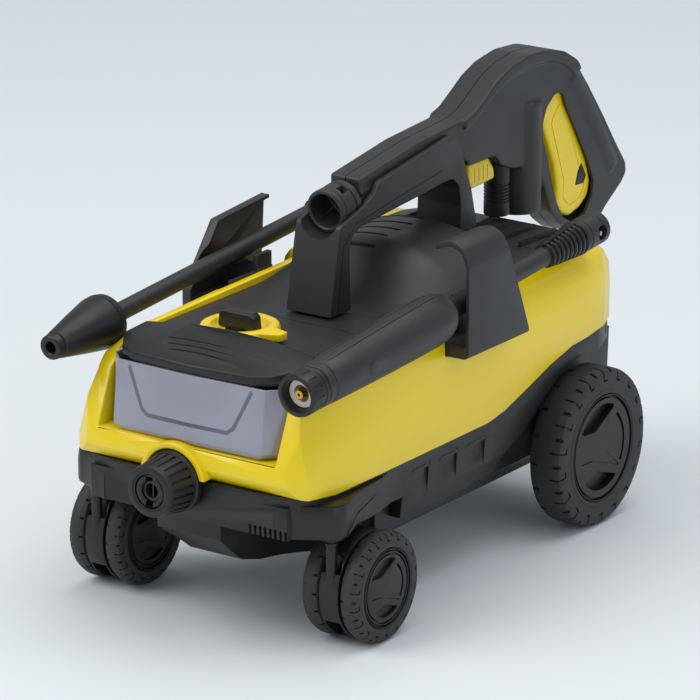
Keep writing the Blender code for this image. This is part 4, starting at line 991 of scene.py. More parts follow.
class WASHER_OT_outlet(bpy.types.Operator):
    """Fluted outlet collar with its keyhole socket, and the inlet and cord gland at the rear"""

    bl_idname = "washer.outlet"
    bl_label = "Outlet and inlets"

    def execute(self, context):
        low, high = box_of("outlet_collar")
        depth = high.y - low.y
        base = (high.z - low.z) / 2
        profile = [
            (0.0146, depth), (base - 0.0012, depth), (base, depth - 0.0012), (base, depth - 0.0055),
            (base - 0.0010, depth - 0.0068), (base - 0.0014, depth - 0.0080), (0.0222, 0.0030),
            (0.0212, 0.0008), (0.0195, 0.0), (0.0166, 0.0), (0.0160, 0.0010), (0.0146, 0.0014),
        ]
        collar = turned("outlet_collar_finished", profile, OUTLET, (0, 1, 0), 96)
        way = Vector((0, depth - 0.0120, base - 0.0026 - 0.0222)).normalized()
        start = OUTLET + Vector((0, 0.0050, 0.0229))
        flute = bar("flute", 0.0011, start, start + way * (depth - 0.0150), 10)
        carve(collar, around(flute, OUTLET, sizes().flutes, axis="Y"))
        finish(collar, "outlet_ring", black_grain(), "outlet_collar")
        socket_low, socket_high = box_of("outlet_socket")
        long = socket_high.y - socket_low.y
        start = OUTLET + Vector((0, 0.0010, 0))
        profile = [(0.0, 0.0270), (0.0085, 0.0270), (0.0085, 0.0012), (0.0095, 0.0), (0.0128, 0.0),
                   (0.0140, 0.0012),
                   (0.0140, long), (0.0, long)]
        socket = turned("bayonet_socket", profile, start, (0, 1, 0), 64)
        x, z = OUTLET.x, OUTLET.z
        for side in (-1, 1):
            key = slab("key_slot", rounded([(x - 0.0036, z + side * 0.0060),
                                            (x - 0.0036, z + side * 0.0128),
                                            (x + 0.0036, z + side * 0.0128),
                                            (x + 0.0036, z + side * 0.0060)], 0.0012),
                       OUTLET.y - 0.01, OUTLET.y + 0.0080, "front")
            carve(socket, key)
        finish(socket, "machine", black_grain(), "outlet_socket")
        ring = turned("socket_insert",
                      [(0.0062, 0.0030), (0.0084, 0.0030), (0.0084, 0.0100), (0.0062, 0.0100)], start,
                      (0, 1, 0), 48)
        blade = block("socket_blade", (x - 0.0007, OUTLET.y + 0.0060, z - 0.0063),
                      (x + 0.0007, OUTLET.y + 0.0090, z + 0.0063))
        build_up(ring, blade)
        finish(soften(ring, 0.0003, 2), "machine", grey_grain())
        finish(soften(packed_copy("water_inlet"), 0.0006, 2), "machine", black_grain(), "water_inlet")
        finish(soften(packed_copy("cord_gland"), 0.0006, 2), "machine", black_grain(), "cord_gland")
        return {"FINISHED"}


class WASHER_OT_drive(bpy.types.Operator):
    """Motor and pump head inside the body"""

    bl_idname = "washer.drive"
    bl_label = "Motor and pump"

    def execute(self, context):
        low, high = box_of("motor")
        middle = Vector((0, low.y - MIDDLE_Y, (low.z + high.z) / 2))
        radius = (high.z - low.z) / 2
        span = high.y - low.y
        profile = [(0.0, span), (0.0300, span), (radius * 0.92, span - 0.0120), (radius, span - 0.0140)]
        for index in range(7):
            start = span - 0.0200 - index * 0.0140
            profile += [(radius, start), (radius - 0.0020, start - 0.0010),
                        (radius - 0.0020, start - 0.0050),
                        (radius, start - 0.0060)]
        profile += [(radius, 0.0080), (radius * 0.83, 0.0), (0.0, 0.0)]
        finish(turned("finned_motor", profile, middle, (0, 1, 0), 64), "machine", cast_alloy(), "motor")
        finish(soften(packed_copy("pump_head"), 0.0015, 2, 40), "machine", cast_alloy(), "pump_head")
        return {"FINISHED"}


# ---- handle and holders ---------------------------------------------------------------
class WASHER_OT_handle(bpy.types.Operator):
    """Carry handle with the muzzle cup and the trough for the barrel"""

    bl_idname = "washer.handle"
    bl_label = "Carry handle"

    def execute(self, context):
        low, high = box_of("carry_handle")
        half = high.x
        foot = low.z
        shape = [
            (-0.0750, foot, 0.001), (-0.0640, 0.2850, 0.03), (-0.0600, 0.3035, 0.006),
            (-0.0510, 0.3055, 0.004), (-0.0260, 0.3130, 0.01), (-0.0100, 0.3210, 0.01),
            (-0.0040, 0.3290, 0.008), (0.0180, 0.3325, 0.03), (0.0810, 0.3415, 0.05),
            (0.1080, 0.3455, 0.010), (0.1200, 0.3280, 0.03), (0.1265, 0.3100, 0.03),
            (0.1345, 0.2920, 0.03), (0.1420, 0.2630, 0.03), (0.1440, 0.2490, 0.001),
            (0.1170, 0.2490, 0.001), (0.1185, 0.2800, 0.02), (0.1155, 0.2990, 0.012),
            (0.1050, 0.3070, 0.010), (0.0900, 0.3065, 0.03), (0.0500, 0.3030, 0.05),
            (0.0090, 0.3000, 0.05), (-0.0300, 0.2970, 0.012), (-0.0430, 0.2920, 0.010),
            (-0.0470, 0.2820, 0.01), (-0.0455, foot, 0.001),
        ]
        handle = slab("carry_handle_finished", rounded(shape, 0.01, 6), -half, half)
        soften(handle, 0.0042, 4, 40)
        channel = [(-0.0260, MUZZLE.z + 0.12 * 0.025 - 0.0085),
                   (0.1600, MUZZLE.z + 0.12 * 0.211 - 0.0085), (0.1600, 0.40), (-0.0260, 0.40)]
        trough = slab("barrel_trough", channel, -0.0175, 0.0175)
        cup = bar("muzzle_cup", 0.0195, MUZZLE - 0.05 * BARREL_WAY, MUZZLE + 0.03 * BARREL_WAY, 64)
        carve(handle, trough, cup)
        for side in (-1, 1):
            line = slab("post_line", ribbon([(-0.0660, foot - 0.01), (-0.0560, 0.2850), (-0.0380, 0.3010),
                                             (0.0100, 0.3080),
                                             (0.0900, 0.3180)], 0.0009),
                                             *sorted((side * (half - 0.0005), side * (half + 0.01))))
            carve(handle, line)
        finish(handle, "machine", grey_grain(), "carry_handle")
        return {"FINISHED"}


def holder_piece():
    """The right-hand holder: a curved plate with a rolled lip, an inner cheek and a saddle."""
    low, high = box_of("holder_right")
    out = high.x
    top = high.z
    base = low.z
    inner = low.x
    wall = 0.0030
    section = [
        (inner, base, 0.002), (out, base, 0.006), (out, top - 0.0190, 0.02),
        (out - 0.0060, top - 0.0055, 0.012), (out - 0.0170, top - 0.0001, 0.012),
        (0.1075, top - 0.0040, 0.004), (0.1043, top - 0.0080, 0.002), (0.1062, top - 0.0095, 0.001),
        (out - 0.0175, top - wall - 0.0012, 0.010), (out - wall - 0.0045, top - 0.0095, 0.010),
        (out - wall, top - 0.0210, 0.015), (out - wall, base + 0.0100, 0.003),
        (inner + wall, base + 0.0100, 0.003), (inner + wall, base + 0.0300, 0.001),
        (inner, base + 0.0300, 0.001),
    ]
    holder = slab("holder_right_finished", rounded(section, 0.003, 6), -0.0430, 0.0490, "front")
    side = [(-0.0430, base - 0.01), (0.0490, base - 0.01), (0.0490, base + 0.0020, 0.006),
            (0.0180, 0.2840, 0.02), (0.0140, top + 0.01),
            (-0.0430, top + 0.01)]
    window = slab("holder_side", rounded(side, 0.001, 6), 0.05, 0.20)
    combine(holder, window, "INTERSECT")
    saddle = block("saddle", (inner + 0.0010, -0.0100, base + 0.0050),
                   (out - 0.0010, 0.0100, lance_point(0).z - 0.0020))
    build_up(holder, saddle)
    carve(holder, bar("saddle_groove", 0.0160, lance_point(-0.05), lance_point(0.08), 48))
    return soften(holder, 0.0009, 3, 40)


class WASHER_OT_holders(bpy.types.Operator):
    """The two lance holders"""

    bl_idname = "washer.holders"
    bl_label = "Lance holders"

    def execute(self, context):
        right = holder_piece()
        finish(right, "machine", grey_grain(), "holder_right")
        left = soften(packed_copy("holder_left"), 0.0009, 3, 40)
        finish(left, "machine", grey_grain(), "holder_left")
        return {"FINISHED"}


# ---- trigger gun ----------------------------------------------------------------------
GUN_SIDE = [
    (-0.0215, 0.3350, 0.003), (0.0590, 0.3470, 0.05), (0.1240, 0.3515, 0.05), (0.1440, 0.3550, 0.03),
    (0.1600, 0.3645, 0.03), (0.1800, 0.3765, 0.03), (0.2000, 0.3840, 0.03), (0.2300, 0.3885, 0.04),
    (0.2630, 0.3865, 0.04), (0.2870, 0.3795, 0.03), (0.3080, 0.3680, 0.02), (0.3310, 0.3410, 0.05),
    (0.3580, 0.3060, 0.05), (0.3790, 0.2770, 0.04), (0.3960, 0.2550, 0.012), (0.3970, 0.2450, 0.008),
    (0.3890, 0.2370, 0.012), (0.3630, 0.2210, 0.03), (0.3530, 0.2128, 0.012), (0.3290, 0.2078, 0.03),
    (0.3040, 0.2110, 0.03), (0.2870, 0.2228, 0.03), (0.2710, 0.2385, 0.03), (0.2640, 0.2545, 0.03),
    (0.2560, 0.2715, 0.02), (0.2500, 0.2860, 0.012), (0.2100, 0.2905, 0.02), (0.1900, 0.2985, 0.012),
    (0.1820, 0.3085, 0.010), (0.1420, 0.3085, 0.008), (0.1300, 0.3185, 0.012), (0.1220, 0.3275, 0.015),
    (0.0600, 0.3210, 0.05), (-0.0215, 0.3090, 0.003),
]
GUN_CROWN = [
    (0.1300, 0.3525, 0.02), (0.1440, 0.3558, 0.03), (0.1600, 0.3650, 0.03), (0.1800, 0.3770, 0.03),
    (0.2000, 0.3845, 0.03), (0.2300, 0.3892, 0.04), (0.2630, 0.3872, 0.04), (0.2870, 0.3802, 0.03),
    (0.3080, 0.3686, 0.02), (0.3160, 0.3580, 0.012), (0.3040, 0.3560, 0.010), (0.2870, 0.3690, 0.03),
    (0.2630, 0.3765, 0.03), (0.2300, 0.3780, 0.03), (0.2000, 0.3735, 0.03), (0.1800, 0.3660, 0.03),
    (0.1600, 0.3560, 0.03), (0.1440, 0.3470, 0.02), (0.1300, 0.3430, 0.01),
]
GRIP_WINDOW = [
    (0.2755, 0.3440), (0.2620, 0.3340), (0.2560, 0.3200), (0.2580, 0.3040), (0.2660, 0.2840),
    (0.2730, 0.2620), (0.2810, 0.2430), (0.2900, 0.2285), (0.3060, 0.2195), (0.3270, 0.2225),
    (0.3390, 0.2370), (0.3410, 0.2510), (0.3290, 0.2740), (0.3110, 0.3030), (0.2940, 0.3290),
    (0.2880, 0.3430),
]
TRIGGER_ROOM = [
    (0.2680, 0.3570), (0.2600, 0.3400), (0.2540, 0.3200), (0.2640, 0.2980), (0.2770, 0.2650),
    (0.2810, 0.2430), (0.2900, 0.2285), (0.3060, 0.2185), (0.3400, 0.2185), (0.3600, 0.2330),
    (0.3580, 0.2560), (0.3450, 0.2830), (0.3250, 0.3130), (0.3060, 0.3440), (0.2920, 0.3600),
    (0.2780, 0.3620),
]
TRIGGER_SHAPE = [
    (0.2740, 0.3530), (0.2670, 0.3420), (0.2620, 0.3300), (0.2615, 0.3200), (0.2710, 0.3010),
    (0.2830, 0.2750), (0.2875, 0.2540), (0.2860, 0.2380), (0.2960, 0.2290), (0.3080, 0.2240),
    (0.3250, 0.2280), (0.3380, 0.2360), (0.3420, 0.2500), (0.3340, 0.2740), (0.3180, 0.3020),
    (0.3010, 0.3300), (0.2920, 0.3480), (0.2860, 0.3540),
]
LOCK_SHAPE = [(0.3170, 0.2520), (0.3300, 0.2510), (0.3330, 0.2560), (0.3260, 0.2680), (0.3210, 0.2620)]
LOCK_WINDOW = [(0.3160, 0.2508), (0.3306, 0.2498), (0.3341, 0.2562), (0.3260, 0.2698), (0.3200, 0.2627)]
CLIP_SHAPE = [(0.1500, 0.2840), (0.1900, 0.2860), (0.1885, 0.2960), (0.1800, 0.3070), (0.1480, 0.3070)]


def barrel_point(y, height=0.0):
    """A point on the barrel's line, or this far above it."""
    return Vector((0, y, MUZZLE.z + BARREL_RISE * (y - MUZZLE.y) + height))


class WASHER_OT_gun(bpy.types.Operator):
    """Trigger gun housing, melted into one moulding and parted into two halves"""

    bl_idname = "washer.gun"
    bl_label = "Gun housing"

    def execute(self, context):
        valve = centre_of("gun_valve")
        valve_y = valve.y - MIDDLE_Y
        socket = centre_of("gun_socket")
        socket_y = socket.y - MIDDLE_Y
        socket_radius = (box_of("gun_socket")[1].x - box_of("gun_socket")[0].x) / 2
        half = box_of("gun_shell_right")[1].x
        core = slab("gun_core", rounded(GUN_SIDE, 0.01, 4), -0.0158, 0.0158)
        soften(core, 0.0048, 3, 40)
        parts = [core]
        crown = slab("gun_crown", rounded(GUN_CROWN, 0.01, 4), -0.0192, 0.0192)
        parts.append(soften(crown, 0.0034, 3, 40))
        parts.append(soften(bar("valve_bulge", half - 0.0002, (0, valve_y, 0.2440), (0, valve_y, 0.3440),
                                72), 0.0025, 3))
        spine = [(0.3050, 0.3540), (0.3200, 0.3340), (0.3380, 0.3090), (0.3580, 0.2790), (0.3730, 0.2560)]
        for index in range(len(spine) - 1):
            parts.append(bar("grip_%d" % index, 0.0182, (0, *spine[index]), (0, *spine[index + 1]), 32))
        for side in (-1, 1):
            rail = [barrel_point(y, 0.0075) for y in (-0.0215, 0.0600)]
            parts.append(bar("barrel_rail", 0.0030, rail[0] + Vector((side * 0.0138, 0, 0)),
                             rail[1] + Vector((side * 0.0138, 0, 0)), 16))
        gun = blended(joined("gun_moulding", parts), 0.00125, 3)
        keep_out = slab("barrel_front", [(-0.06, 0.25), (-0.0218, 0.25), (-0.0218, 0.40), (-0.06, 0.40)],
                        -0.03, 0.03)
        carve(gun, keep_out)
        carve(gun, slab("grip_window", rounded(GRIP_WINDOW, 0.010, 4), -0.05, 0.05))
        carve(gun, slab("trigger_room", TRIGGER_ROOM, -0.0130, 0.0130))
        carve(gun, bar("valve_room", 0.0130, (0, valve_y, 0.2550), (0, valve_y, 0.3300), 32))
        carve(gun, bar("socket_room", socket_radius + 0.0004, (0, socket_y, 0.2300),
                       (0, socket_y, 0.3200), 32))
        pivot = centre_of("trigger_pin")
        carve(gun, bar("pin_bore", 0.0024, (-0.0155, pivot.y - MIDDLE_Y, pivot.z),
                       (0.0155, pivot.y - MIDDLE_Y, pivot.z), 16))
        for y in (0.3420, 0.3500, 0.3580):
            z = 0.3410 - (y - 0.3310) * 1.33
            carve(gun, block("grip_notch", (-0.03, y - 0.0006, z - 0.0030), (0.03, y + 0.0006, z + 0.02)))
        for name, side in (("gun_shell_right", 1), ("gun_shell_left", -1)):
            shell = copied(gun, name + "_finished")
            edit_all(shell)
            bpy.ops.mesh.bisect(plane_co=(side * 0.00035, 0, 0), plane_no=(side, 0, 0), use_fill=True,
                                clear_inner=True)
            bpy.ops.object.mode_set(mode="OBJECT")
            face_out(shell)
            finish(shell, "gun", grey_grain(), name, angle=40)
        bpy.data.objects.remove(gun, do_unlink=True)
        return {"FINISHED"}


class WASHER_OT_gun_fittings(bpy.types.Operator):
    """Muzzle, valve, hose socket, trigger with its lock, and the hose clip"""

    bl_idname = "washer.gun_fittings"
    bl_label = "Gun fittings and trigger"

    def execute(self, context):
        low, high = box_of("gun_muzzle")
        radius = high.x
        profile = [
            (0.0145, 0.0280), (radius - 0.0012, 0.0280), (radius - 0.0002, 0.0270),
            (radius - 0.0002, 0.0215), (radius - 0.0012, 0.0210), (radius - 0.0012, 0.0195),
            (radius - 0.0002, 0.0190), (radius - 0.0002, 0.0070), (radius - 0.0010, 0.0064),
            (radius - 0.0010, 0.0050), (radius, 0.0044), (radius, 0.0014), (radius - 0.0010, 0.0002),
            (0.0158, 0.0), (0.0147, 0.0012), (0.0145, 0.0060),
        ]
        muzzle = turned("muzzle_ring", profile, MUZZLE, BARREL_WAY, 96)
        for side in (-1, 1):
            window = block("muzzle_window", (side * 0.0085 - 0.0034, MUZZLE.y + 0.0085, MUZZLE.z + 0.008),
                           (side * 0.0085 + 0.0034, MUZZLE.y + 0.0170, MUZZLE.z + 0.03))
            carve(muzzle, window)
        rib_start = MUZZLE + 0.0150 * BARREL_WAY
        ribs = []
        for angle in (45, 135):
            way = Matrix.Rotation(math.radians(angle), 4, "Y") @ Vector((0.0148, 0, 0))
            rib = bar("muzzle_rib", 0.0012, rib_start - way, rib_start + way, 12)
            ribs.append(rib)
        finish(muzzle, "gun", grey_grain(), "gun_muzzle")
        cross = joined("muzzle_ribs", ribs)
        finish(cross, "gun", black_grain())
        valve = packed_copy("gun_valve")
        finish(soften(valve, 0.0008, 2), "gun", machined_brass(), "gun_valve")
        low, high = box_of("gun_socket")
        outer = (high.x - low.x) / 2
        long = high.z - low.z
        profile = [(0.0070, long), (outer, long), (outer, 0.0300)]
        for index in range(6):
            level = 0.0290 - 0.0030 * index
            profile += [(outer - 0.0010, level), (outer - 0.0010, level - 0.0012),
                        (outer, level - 0.0016), (outer, level - 0.0024)]
        profile += [(outer, 0.0080), (outer, 0.0010), (outer - 0.0010, 0.0), (0.0078, 0.0),
                    (0.0070, 0.0010)]
        place = (0, centre_of("gun_socket").y - MIDDLE_Y, low.z)
        finish(turned("hose_socket", profile, place, (0, 0, 1), 64), "gun", black_grain(), "gun_socket")
        wide = box_of("trigger")[1].x
        trigger = slab("trigger_paddle", rounded(TRIGGER_SHAPE, 0.010, 4), -wide, wide)
        soften(trigger, 0.0038, 4, 40)
        inset = [(0.2905, 0.3360), (0.2740, 0.3180), (0.2850, 0.2900), (0.2970, 0.2600), (0.2960, 0.2420),
                 (0.3070, 0.2340),
                 (0.3240, 0.2370), (0.3320, 0.2470), (0.3080, 0.2980)]
        for side in (-1, 1):
            sides = sorted((side * (wide - 0.0007), side * (wide + 0.01)))
            rim = slab("paddle_line", rounded(inset, 0.006, 4), *sides)
            inner = slab("paddle_face",
                         rounded([(0.2905 + (y - 0.2905) * 0.93 + 0.0012,
                                   0.2850 + (z - 0.2850) * 0.965) for y, z in inset],
                                                0.006, 4), sides[0] - 0.001, sides[1] + 0.001)
            combine(rim, inner)
            carve(trigger, rim)
        pivot = centre_of("trigger_pin")
        bore = bar("trigger_bore", 0.0025, (-0.03, pivot.y - MIDDLE_Y, pivot.z),
                   (0.03, pivot.y - MIDDLE_Y, pivot.z), 16)
        carve(trigger, bore, slab("lock_window", rounded(LOCK_WINDOW, 0.0010, 3), -0.03, 0.03))
        finish(trigger, "trigger", yellow_gloss(), "trigger")
        low, high = box_of("trigger_lock")
        lock = soften(slab("lock_slide", rounded(LOCK_SHAPE, 0.0012, 3), low.x, high.x), 0.0006, 2, 40)
        finish(lock, "trigger_lock", black_grain(), "trigger_lock")
        clip = slab("hose_clip_finished", rounded(CLIP_SHAPE, 0.0035, 4), -0.0100, 0.0100)
        soften(clip, 0.0022, 3, 40)
        for index in range(4):
            y = 0.1580 + 0.0065 * index
            for side in (-1, 1):
                carve(clip, block("clip_rib", (side * 0.0100 - 0.0006, y - 0.0008, 0.2890),
                                  (side * 0.0100 + 0.0006, y + 0.0008, 0.3020)))
        finish(clip, "hose_clip", yellow_gloss(), "hose_clip")
        return {"FINISHED"}


# ---- lances ---------------------------------------------------------------------------
def lance_rear(prefix, side, body):
    """The ribbed grip with its spine, and the bayonet end, of one lance."""
    start = lance_point(0.0980, side)
    count = sizes().ribs
    pitch = 0.0520 / count
    tube = 0.0089
    profile = [(tube, 0.0520)]
    for index in range(count, 0, -1):
        radius = 0.0098 + (0.0150 - 0.0098) * (index / count) ** 0.8
        far = pitch * index
        profile += [(radius - 0.0006, far), (radius, far - pitch * 0.15), (radius, far - pitch * 0.45),
                    (radius - 0.0006, far - pitch * 0.55),
                    (radius - 0.0022, far - pitch * 0.60), (radius - 0.0024, far - pitch)]
    profile.append((tube, 0.0))
    grip = turned(prefix + "_ribs", profile, start, LANCE_WAY, 64)
    spine = [(0.0985, 0.0110), (0.1080, 0.0125), (0.1490, 0.0150), (0.1490, 0.0100), (0.0985, 0.0095)]
    side_line = [(y, lance_point(y).z + height) for y, height in spine]
    build_up(grip, slab("grip_spine", side_line, side * LANCE_X - 0.0016, side * LANCE_X + 0.0016))
    finish(grip, body, black_grain(), prefix + "_grip")
    end = lance_point(0.1505, side)
    profile = [
        (0.0, 0.0360), (0.0092, 0.0360), (0.0100, 0.0352), (0.0118, 0.0335), (0.0140, 0.0318),
        (0.0145, 0.0305), (0.0145, 0.0235), (0.0138, 0.0230), (0.0138, 0.0215), (0.0145, 0.0210),
        (0.0145, 0.0055), (0.0137, 0.0050), (0.0137, 0.0036), (0.0145, 0.0031), (0.0145, 0.0008),
        (0.0138, 0.0), (0.0, 0.0),
    ]
    tail = turned(prefix + "_tail", profile, end, LANCE_WAY, 72)
    window = lance_point(0.1700, side)
    opening = rounded([(0.1640, window.z - 0.0055), (0.1640, window.z + 0.0070),
                       (0.1760, window.z + 0.0070), (0.1760, window.z - 0.0055)], 0.005)
    carve(tail, slab("oval_window", opening, window.x - 0.03, window.x + 0.03))
    finish(tail, body, grey_grain(), prefix + "_bayonet")
    pin = bar(prefix + "_pin", 0.0021, lance_point(0.1700, side) - Vector((0.0125, 0, 0)),
              lance_point(0.1700, side) + Vector((0.0125, 0, 0)), 24)
    finish(soften(pin, 0.0005, 2), body, drawn_steel())


class WASHER_OT_right_lance(bpy.types.Operator):
    """Flat-jet lance on the right: nose collar, nozzle insert, moulded body, tube, grip"""

    bl_idname = "washer.right_lance"
    bl_label = "Right lance"

    def execute(self, context):
        nose = lance_point(-0.2590)
        profile = [
            (0.0125, 0.0230), (0.0172, 0.0230), (0.0180, 0.0222), (0.0180, 0.0190), (0.0172, 0.0182),
            (0.0172, 0.0170), (0.0180, 0.0162), (0.0180, 0.0022), (0.0175, 0.0006), (0.0162, 0.0),
            (0.0144, 0.0), (0.0135, 0.0012), (0.0125, 0.0080),
        ]
        collar = turned("nose_collar", profile, nose, LANCE_WAY, 96)
        start = nose + LANCE_WAY * 0.0045 + Vector((0.0184, 0, 0))
        knurl = bar("knurl", 0.0011, start, start + LANCE_WAY * 0.0095, 12)
        carve(collar, around(knurl, nose, 14, axis=LANCE_WAY))
        finish(collar, "lance_nose", black_grain(), "lance_right_collar")
        insert = [(0.0, 0.0225), (0.0070, 0.0225), (0.0070, 0.0100), (0.0062, 0.0088), (0.0042, 0.0060),
                  (0.0036, 0.0044), (0.0014, 0.0042),
                  (0.0010, 0.0060), (0.0, 0.0060)]
        finish(turned("nozzle_insert", insert, nose, LANCE_WAY, 64), "lance_right", machined_brass(),
               "lance_right_nozzle")
        sleeve = [(0.0072, 0.0080), (0.0118, 0.0080), (0.0122, 0.0090), (0.0122, 0.0222), (0.0072, 0.0222)]
        finish(turned("nozzle_sleeve", sleeve, nose, LANCE_WAY, 64), "lance_right", ceramic_white())
        start = lance_point(-0.2590 + 0.0236)
        long = 0.1900
        tube = 0.0085
        profile = [
            (0.0, long), (tube, long), (0.0120, long - 0.0022), (0.0158, long - 0.0064),
            (0.0184, long - 0.0110), (0.0204, long - 0.0165), (0.0215, long - 0.0230),
            (0.0220, long - 0.0320), (0.0217, long * 0.66), (0.0209, long * 0.45), (0.0197, long * 0.22),
            (0.0186, 0.0100), (0.0183, 0.0094), (0.0176, 0.0090), (0.0176, 0.0076), (0.0183, 0.0072),
            (0.0182, 0.0008), (0.0174, 0.0), (0.0, 0.0),
        ]
        body = turned("lance_moulding", profile, start, LANCE_WAY, 128)
        seam = []
        for share, radius in ((0.06, 0.0187), (0.22, 0.0198), (0.45, 0.0210), (0.66, 0.0218),
                              (0.83, 0.0221), (0.90, 0.0210), (0.95, 0.0175)):
            place = start + LANCE_WAY * long * share
            seam.append((place.y, place.z + radius - 0.0002))
        ridge = seam + [(y, z - 0.0060) for y, z in reversed(seam)]
        build_up(body, slab("seam_ridge", ridge, LANCE_X - 0.0007, LANCE_X + 0.0007))
        for side in (-1, 1):
            x = LANCE_X + side * 0.0052
            line = [(x - 0.00035, -0.2220), (x + 0.00035, -0.2220), (x + 0.00035, -0.0720),
                    (x - 0.00035, -0.0720)]
            groove = slab("side_line", line, 0.20, 0.30, "plan")
            inner = turned("groove_floor",
                           [(0.0, long + 0.01), (0.0130, long + 0.01), (0.0130, long - 0.0300),
                            (0.0214, long - 0.0330),
                                            (0.0203, long * 0.45), (0.0178, -0.01), (0.0, -0.01)], start,
                                            LANCE_WAY, 64)
            combine(groove, inner)
            carve(body, groove)
        pad_middle = start + LANCE_WAY * long * 0.30
        pad = turned("clip_pad", [(0.0, 0.0), (0.0, 0.0008), (0.0050, 0.0008), (0.0060, 0.0004),
                                  (0.0060, 0.0)],
                     pad_middle + Vector((0.0196, 0, 0.0)), (1, 0, 0), 32)
        build_up(body, pad)
        finish(body, "lance_right", grey_grain(), "lance_right_body")
        finish(packed_copy("lance_right_tube"), "lance_right", grey_grain(), "lance_right_tube")
        lance_rear("lance_right", 1, "lance_right")
        return {"FINISHED"}


class WASHER_OT_left_lance(bpy.types.Operator):
    """Rotary-jet lance on the left: cone with its rotor, tube, grip"""

    bl_idname = "washer.left_lance"
    bl_label = "Left lance"

    def execute(self, context):
        nose = lance_point(-0.2690, -1)
        long = 0.0780
        profile = [
            (0.0085, long), (0.0140, long), (0.0152, long - 0.0004), (0.0205, long - 0.0022),
            (0.0217, long - 0.0032), (0.0228, long - 0.0080), (0.0228, long - 0.0098),
            (0.0221, long - 0.0102), (0.0221, long - 0.0112), (0.0228, long - 0.0116),
            (0.0226, long - 0.0165), (0.0180, 0.0380), (0.0120, 0.0100), (0.0115, 0.0086),
            (0.0108, 0.0082), (0.0108, 0.0070), (0.0112, 0.0064), (0.0104, 0.0010), (0.0094, 0.0),
            (0.0062, 0.0), (0.0050, 0.0012), (0.0060, 0.0120), (0.0180, long - 0.0160),
            (0.0085, long - 0.0100),
        ]
        cone = turned("rotary_cone", profile, nose, LANCE_WAY, 96)
        base = nose + LANCE_WAY * (long - 0.0096)
        knurl_end = base + LANCE_WAY * 0.0072 + Vector((0.0228, 0, 0))
        knurl = bar("cone_knurl", 0.0010, base + Vector((0.0232, 0, 0)), knurl_end, 10)
        carve(cone, around(knurl, nose, 18, axis=LANCE_WAY))
        finish(cone, "lance_left", black_grain(), "lance_left_cone")
        finish(soften(packed_copy("lance_left_rotor"), 0.0006, 2), "rotor", machined_brass(),
               "lance_left_rotor")
        finish(packed_copy("lance_left_tube"), "lance_left", grey_grain(), "lance_left_tube")
        lance_rear("lance_left", -1, "lance_left")
        return {"FINISHED"}


# ---- stage, panel and run -------------------------------------------------------------
def area_light(name, place, target, size, watts, colour):
    """A soft square light aimed at a point."""
    bpy.ops.object.select_all(action="DESELECT")
    turn = (Vector(target) - Vector(place)).to_track_quat("-Z", "Y").to_euler()
    bpy.ops.object.light_add(type="AREA", location=place, rotation=turn)
    lamp = bpy.context.active_object
    lamp.name = name
    lamp.data.name = name
    lamp.data.size = size
    lamp.data.energy = watts
    lamp.data.color = linear(colour)
    return lamp


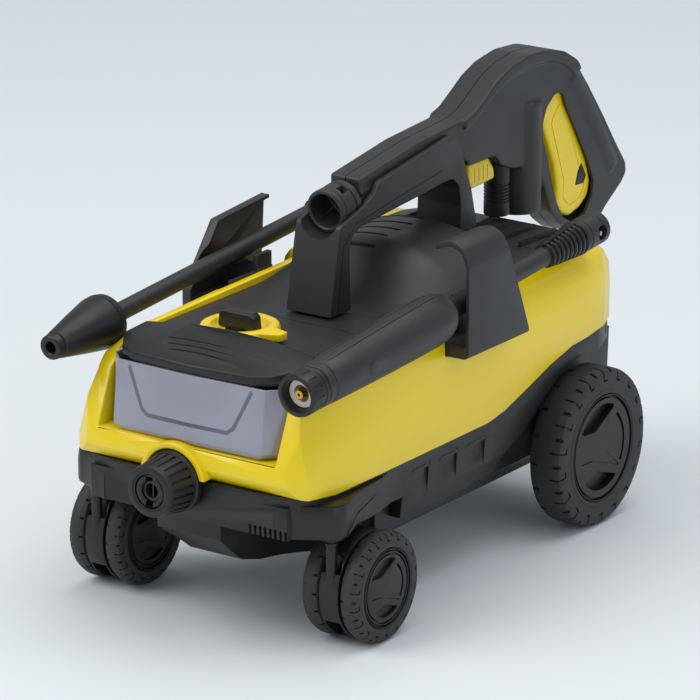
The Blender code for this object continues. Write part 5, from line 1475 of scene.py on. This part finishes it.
class WASHER_OT_stage(bpy.types.Operator):
    """Pale floor, soft lights, sky and camera"""

    bl_idname = "washer.stage"
    bl_label = "Studio and camera"

    def execute(self, context):
        floor = add("studio_floor", bpy.ops.mesh.primitive_plane_add, size=60, location=(0, 0, 0))
        sheen = bpy.data.materials.new("studio_floor_paint")
        sheen.use_nodes = True
        shader = sheen.node_tree.nodes["Principled BSDF"]
        shader.inputs["Base Color"].default_value = (*colours().floor, 1)
        shader.inputs["Roughness"].default_value = 0.9
        shader.inputs["Specular IOR Level"].default_value = 0.1
        floor.data.materials.append(sheen)
        focus = (0, 0, 0.15)
        area_light("key_softbox", (-1.6, -2.4, 3.0), focus, 2.4, 66, "#FFFDF8")
        area_light("top_softbox", (0.4, 0.6, 3.4), focus, 3.0, 50, "#FFFFFF")
        area_light("fill_softbox", (3.2, -0.8, 1.6), focus, 2.4, 20, "#F2F6FF")
        world = bpy.data.worlds.new("studio_sky")
        world.use_nodes = True
        world.node_tree.nodes["Background"].inputs["Color"].default_value = (*linear("#EEF2F6"), 1)
        world.node_tree.nodes["Background"].inputs["Strength"].default_value = 0.50
        context.scene.world = world
        target = Vector((-0.0102, MIDDLE_Y, 0.1760))
        azimuth = math.radians(34.99)
        rise = math.radians(17.66)
        back = Vector((math.sin(azimuth) * math.cos(rise), -math.cos(azimuth) * math.cos(rise),
                       math.sin(rise)))
        place = target + back * 4.2199
        bpy.ops.object.camera_add(location=place, rotation=(-back).to_track_quat("-Z", "Y").to_euler())
        camera = context.active_object
        camera.name = "product_camera"
        camera.data.lens = 257.14
        camera.data.sensor_width = 36
        context.scene.camera = camera
        context.scene.view_settings.view_transform = "Standard"
        return {"FINISHED"}


STEPS = [
    WASHER_OT_tub, WASHER_OT_shell, WASHER_OT_cover, WASHER_OT_handle, WASHER_OT_holders,
    WASHER_OT_wheels, WASHER_OT_casters,
    WASHER_OT_tank, WASHER_OT_switch, WASHER_OT_outlet, WASHER_OT_drive, WASHER_OT_gun,
    WASHER_OT_gun_fittings,
    WASHER_OT_right_lance, WASHER_OT_left_lance, WASHER_OT_stage,
]


class WASHER_PT_panel(bpy.types.Panel):
    """Colours, sizes and one button per piece"""

    bl_idname = "WASHER_PT_panel"
    bl_label = "Pressure washer"
    bl_space_type = "VIEW_3D"
    bl_region_type = "UI"
    bl_category = "Washer"

    def draw(self, context):
        scene = context.scene
        for group in (scene.washer_colours, scene.washer_sizes):
            box = self.layout.box()
            for name in group.__annotations__:
                box.prop(group, name)
        column = self.layout.column(align=True)
        for step in STEPS:
            column.operator(step.bl_idname)


CLASSES = [WasherColours, WasherSizes, *STEPS, WASHER_PT_panel]


def register():
    """Add the classes, and their settings to the scene."""
    for item in CLASSES:
        bpy.utils.register_class(item)
    bpy.types.Scene.washer_colours = PointerProperty(type=WasherColours)
    bpy.types.Scene.washer_sizes = PointerProperty(type=WasherSizes)


def unregister():
    """Take the settings and the classes away."""
    del bpy.types.Scene.washer_sizes
    del bpy.types.Scene.washer_colours
    for item in reversed(CLASSES):
        bpy.utils.unregister_class(item)


def main():
    """Build every piece in order."""
    register()
    bpy.ops.washer.tub()
    bpy.ops.washer.shell()
    bpy.ops.washer.cover()
    bpy.ops.washer.handle()
    bpy.ops.washer.holders()
    bpy.ops.washer.wheels()
    bpy.ops.washer.casters()
    bpy.ops.washer.tank()
    bpy.ops.washer.switch()
    bpy.ops.washer.outlet()
    bpy.ops.washer.drive()
    bpy.ops.washer.gun()
    bpy.ops.washer.gun_fittings()
    bpy.ops.washer.right_lance()
    bpy.ops.washer.left_lance()
    bpy.ops.washer.stage()
    bpy.context.view_layer.update()


if __name__ == "__main__":
    main()
